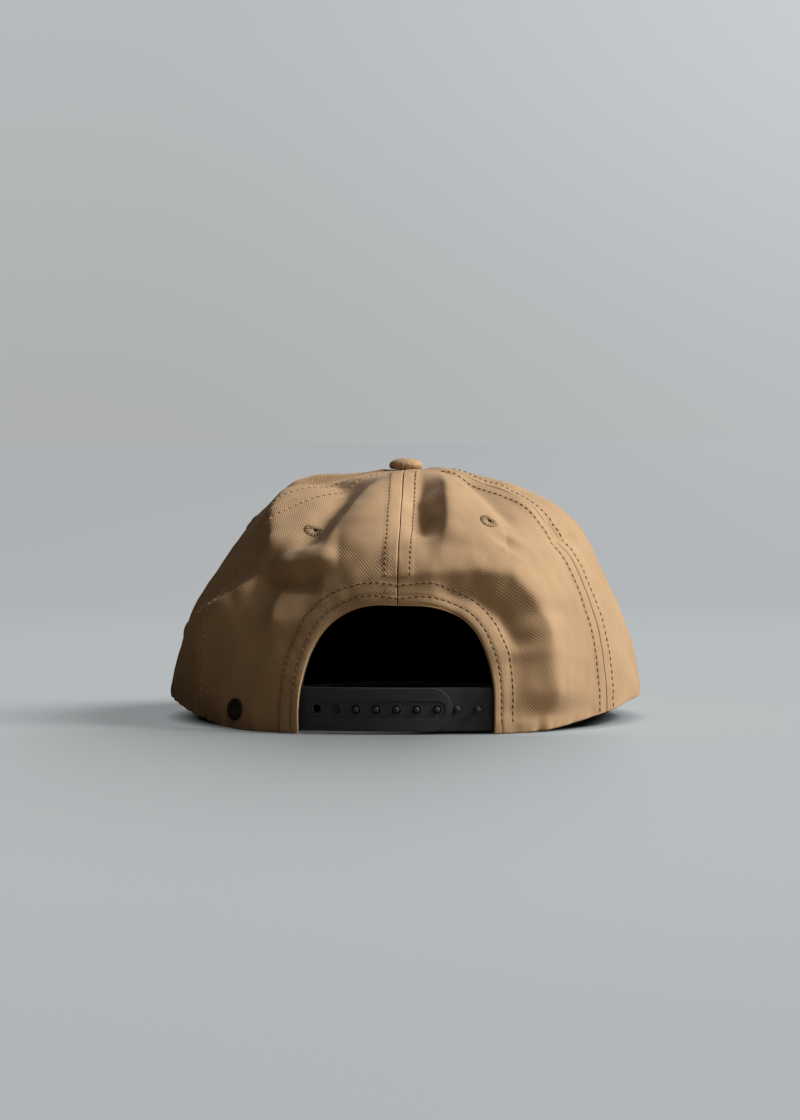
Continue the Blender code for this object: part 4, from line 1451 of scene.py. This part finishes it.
def make_floor():
    """A pale table top. The camera sees it glow a little, as painted light, except under the cap and in front
    of it, where painted shade takes the glow away.
    """
    nodes = new_material("studio_table")
    place = nodes.place()
    x, y, _up = nodes.split(place)
    distance = nodes.add("ShaderNodeVectorMath", {"operation": "LENGTH"}, Vector=place).outputs["Value"]
    near, far = (nodes.mix(nodes.map_range(x, -0.6, 0.6), *pair) for pair in (FLOOR_NEAR, FLOOR_FAR))
    colour = nodes.mix(nodes.map_range(distance, 0.45, 0.95, kind="SMOOTHERSTEP"), near, far)
    from_cap = nodes.add("ShaderNodeVectorMath", {"operation": "DISTANCE"}, Vector=place)
    from_cap.inputs[1].default_value = (0, CENTRE_Y, 0)
    # painted shade: no glow under the cap
    beyond_painted_cap_shade = nodes.map_range(from_cap.outputs["Value"], 0.086, 0.1)
    glow = nodes.mix(painted_front_shade(nodes, x, y), nodes.mix(beyond_painted_cap_shade, BLACK, colour), BLACK)
    nodes.put(nodes.shader.inputs["Emission Color"], glow)
    roughness = nodes.from_noise(nodes.noise(place, 3.0, 2), 0.85, 0.95)
    material = nodes.principled(colour, roughness, Emission_Strength=FLOOR_GLOW, Specular_IOR_Level=0.0)
    dull = nodes.add("ShaderNodeBsdfDiffuse", Color=FLOOR_BOUNCE)
    surface = nodes.by_ray(nodes.shader.outputs[0], dull.outputs[0])
    nodes.put(nodes.tree.nodes["Material Output"].inputs["Surface"], surface)
    mesh = bpy.data.meshes.new("studio_floor")
    reach = 14.0
    corners = [(-reach, -reach, 0), (reach, -reach, 0), (reach, reach, 0), (-reach, reach, 0)]
    mesh.from_pydata(corners, [], [(0, 1, 2, 3)])
    mesh.materials.append(material)
    floor = bpy.data.objects.new("studio_floor", mesh)
    bpy.context.scene.collection.objects.link(floor)


# Each light's turn from behind the cap towards +X and its height above the table, both in degrees,
# then its strength, its spread in degrees, and its colour
LIGHTS = {
    "key": (91, 40, 4.9, 27, (1.0, 1.0, 0.985)),
    "fill": (40, 30, 0.5, 60, (1.0, 0.93, 0.82)),
    "overhead": (0, 88, 0.22, 75, (1.0, 0.9, 0.75)),
}


def make_lights():
    """Soft lights from far off."""
    for name, (turn, height, energy, spread, colour) in LIGHTS.items():
        turn, height = math.radians(turn), math.radians(height)
        light = bpy.data.lights.new(name, "SUN")
        light.energy = energy
        light.angle = math.radians(spread)
        light.color = colour
        lamp = bpy.data.objects.new(name, light)
        bpy.context.scene.collection.objects.link(lamp)
        flat = math.cos(height)
        towards = Vector((math.sin(turn) * flat, -math.cos(turn) * flat, math.sin(height)))
        lamp.rotation_euler = towards.to_track_quat("Z", "Y").to_euler()


# The backdrop's colour on the left and on the right, level with the table and above it
BACKDROP_LOW = ((0.483, 0.492, 0.492, 1), (0.535, 0.559, 0.568, 1))
BACKDROP_HIGH = ((0.526, 0.550, 0.559, 1), (0.647, 0.680, 0.702, 1))
WORLD_FILL = (1.0, 0.86, 0.66, 1)
WORLD_FILL_STRENGTH = 0.02


def make_world():
    """A soft grey backdrop, with only a little light of its own."""
    world = bpy.data.worlds.new("studio")
    bpy.context.scene.world = world
    nodes = Nodes(world)
    nodes.tree.nodes.clear()
    x, _y, z = nodes.split(nodes.place("Generated"))
    across = nodes.map_range(x, -0.13, 0.13, kind="SMOOTHSTEP")
    up = nodes.map_range(z, -0.02, 0.13, kind="SMOOTHSTEP")
    backdrop = nodes.mix(up, nodes.mix(across, *BACKDROP_LOW), nodes.mix(across, *BACKDROP_HIGH))
    seen = nodes.add("ShaderNodeBackground", Color=backdrop)
    fill = nodes.add("ShaderNodeBackground", Color=WORLD_FILL, Strength=WORLD_FILL_STRENGTH)
    output = nodes.add("ShaderNodeOutputWorld")
    nodes.put(output.inputs[0], nodes.by_ray(seen.outputs[0], fill.outputs[0]))


CAMERA_TURN = math.radians(2.5)
CAMERA_REACH = 1.49
CAMERA_HEIGHT = 0.125
CAMERA_TILT = math.radians(2.31)
CAMERA_LENS = 115.4
AIM_SHIFT = 2.5 * MM  # the crown's centre stands this much to the right of the picture's middle


def make_camera():
    camera = bpy.data.cameras.new("camera")
    camera.lens = CAMERA_LENS
    camera.sensor_width = 36
    camera.sensor_fit = "AUTO"
    camera.clip_end = 100
    holder = bpy.data.objects.new("camera", camera)
    bpy.context.scene.collection.objects.link(holder)
    centre = Vector((0, CENTRE_Y, 0))
    holder.location = centre + Vector(
        (CAMERA_REACH * math.sin(CAMERA_TURN), -CAMERA_REACH * math.cos(CAMERA_TURN), CAMERA_HEIGHT)
    )
    aim = centre - Vector((math.cos(CAMERA_TURN), math.sin(CAMERA_TURN), 0)) * AIM_SHIFT
    aim.z = CAMERA_HEIGHT - CAMERA_REACH * math.tan(CAMERA_TILT)
    holder.rotation_euler = (aim - holder.location).to_track_quat("-Z", "Y").to_euler()
    bpy.context.scene.camera = holder


# ---------------------------------------------------------------- all of it

CONTRAST_GAMMA = 0.85  # deepens the shaded side, as a photographic print does


def dress_cad_nodes():
    """The hidden pieces that keep their CAD shape get finished materials."""
    finishes = {"visor_board": BOARD, "button_shell": ZINC, "button_pin": ZINC, "rivet_washer": GUNMETAL}
    for name, material in finishes.items():
        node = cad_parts[name]
        for place in node.material_slots:
            place.material = material


def main():
    make_camera()
    make_floor()
    make_lights()
    make_world()
    bpy.context.scene.view_settings.view_transform = "Standard"
    bpy.context.scene.view_settings.gamma = CONTRAST_GAMMA
    for index in range(PANEL_COUNT):
        make_panel(index)
    for index in range(PANEL_COUNT):
        make_eyelet(index)
        make_seam_stitches(index)
    make_hem_stitches()
    make_button()
    make_rivet()
    make_band("sweatband", SWEATBAND_DEPTH, BAND_CLOTH, "sweatband")
    make_band("sweatband_lining", SWEATBAND_LINING_DEPTH, BAND_LINING, "band_lining")
    make_band_stitches()
    for order in range(PANEL_COUNT // 2):
        make_tape(order)
    make_facing()
    for top in (True, False):
        make_visor_cover(top)
    for top in (True, False):
        make_visor_stitches(top)
    make_hole_strap()
    make_peg_strap()
    dress_cad_nodes()


main()
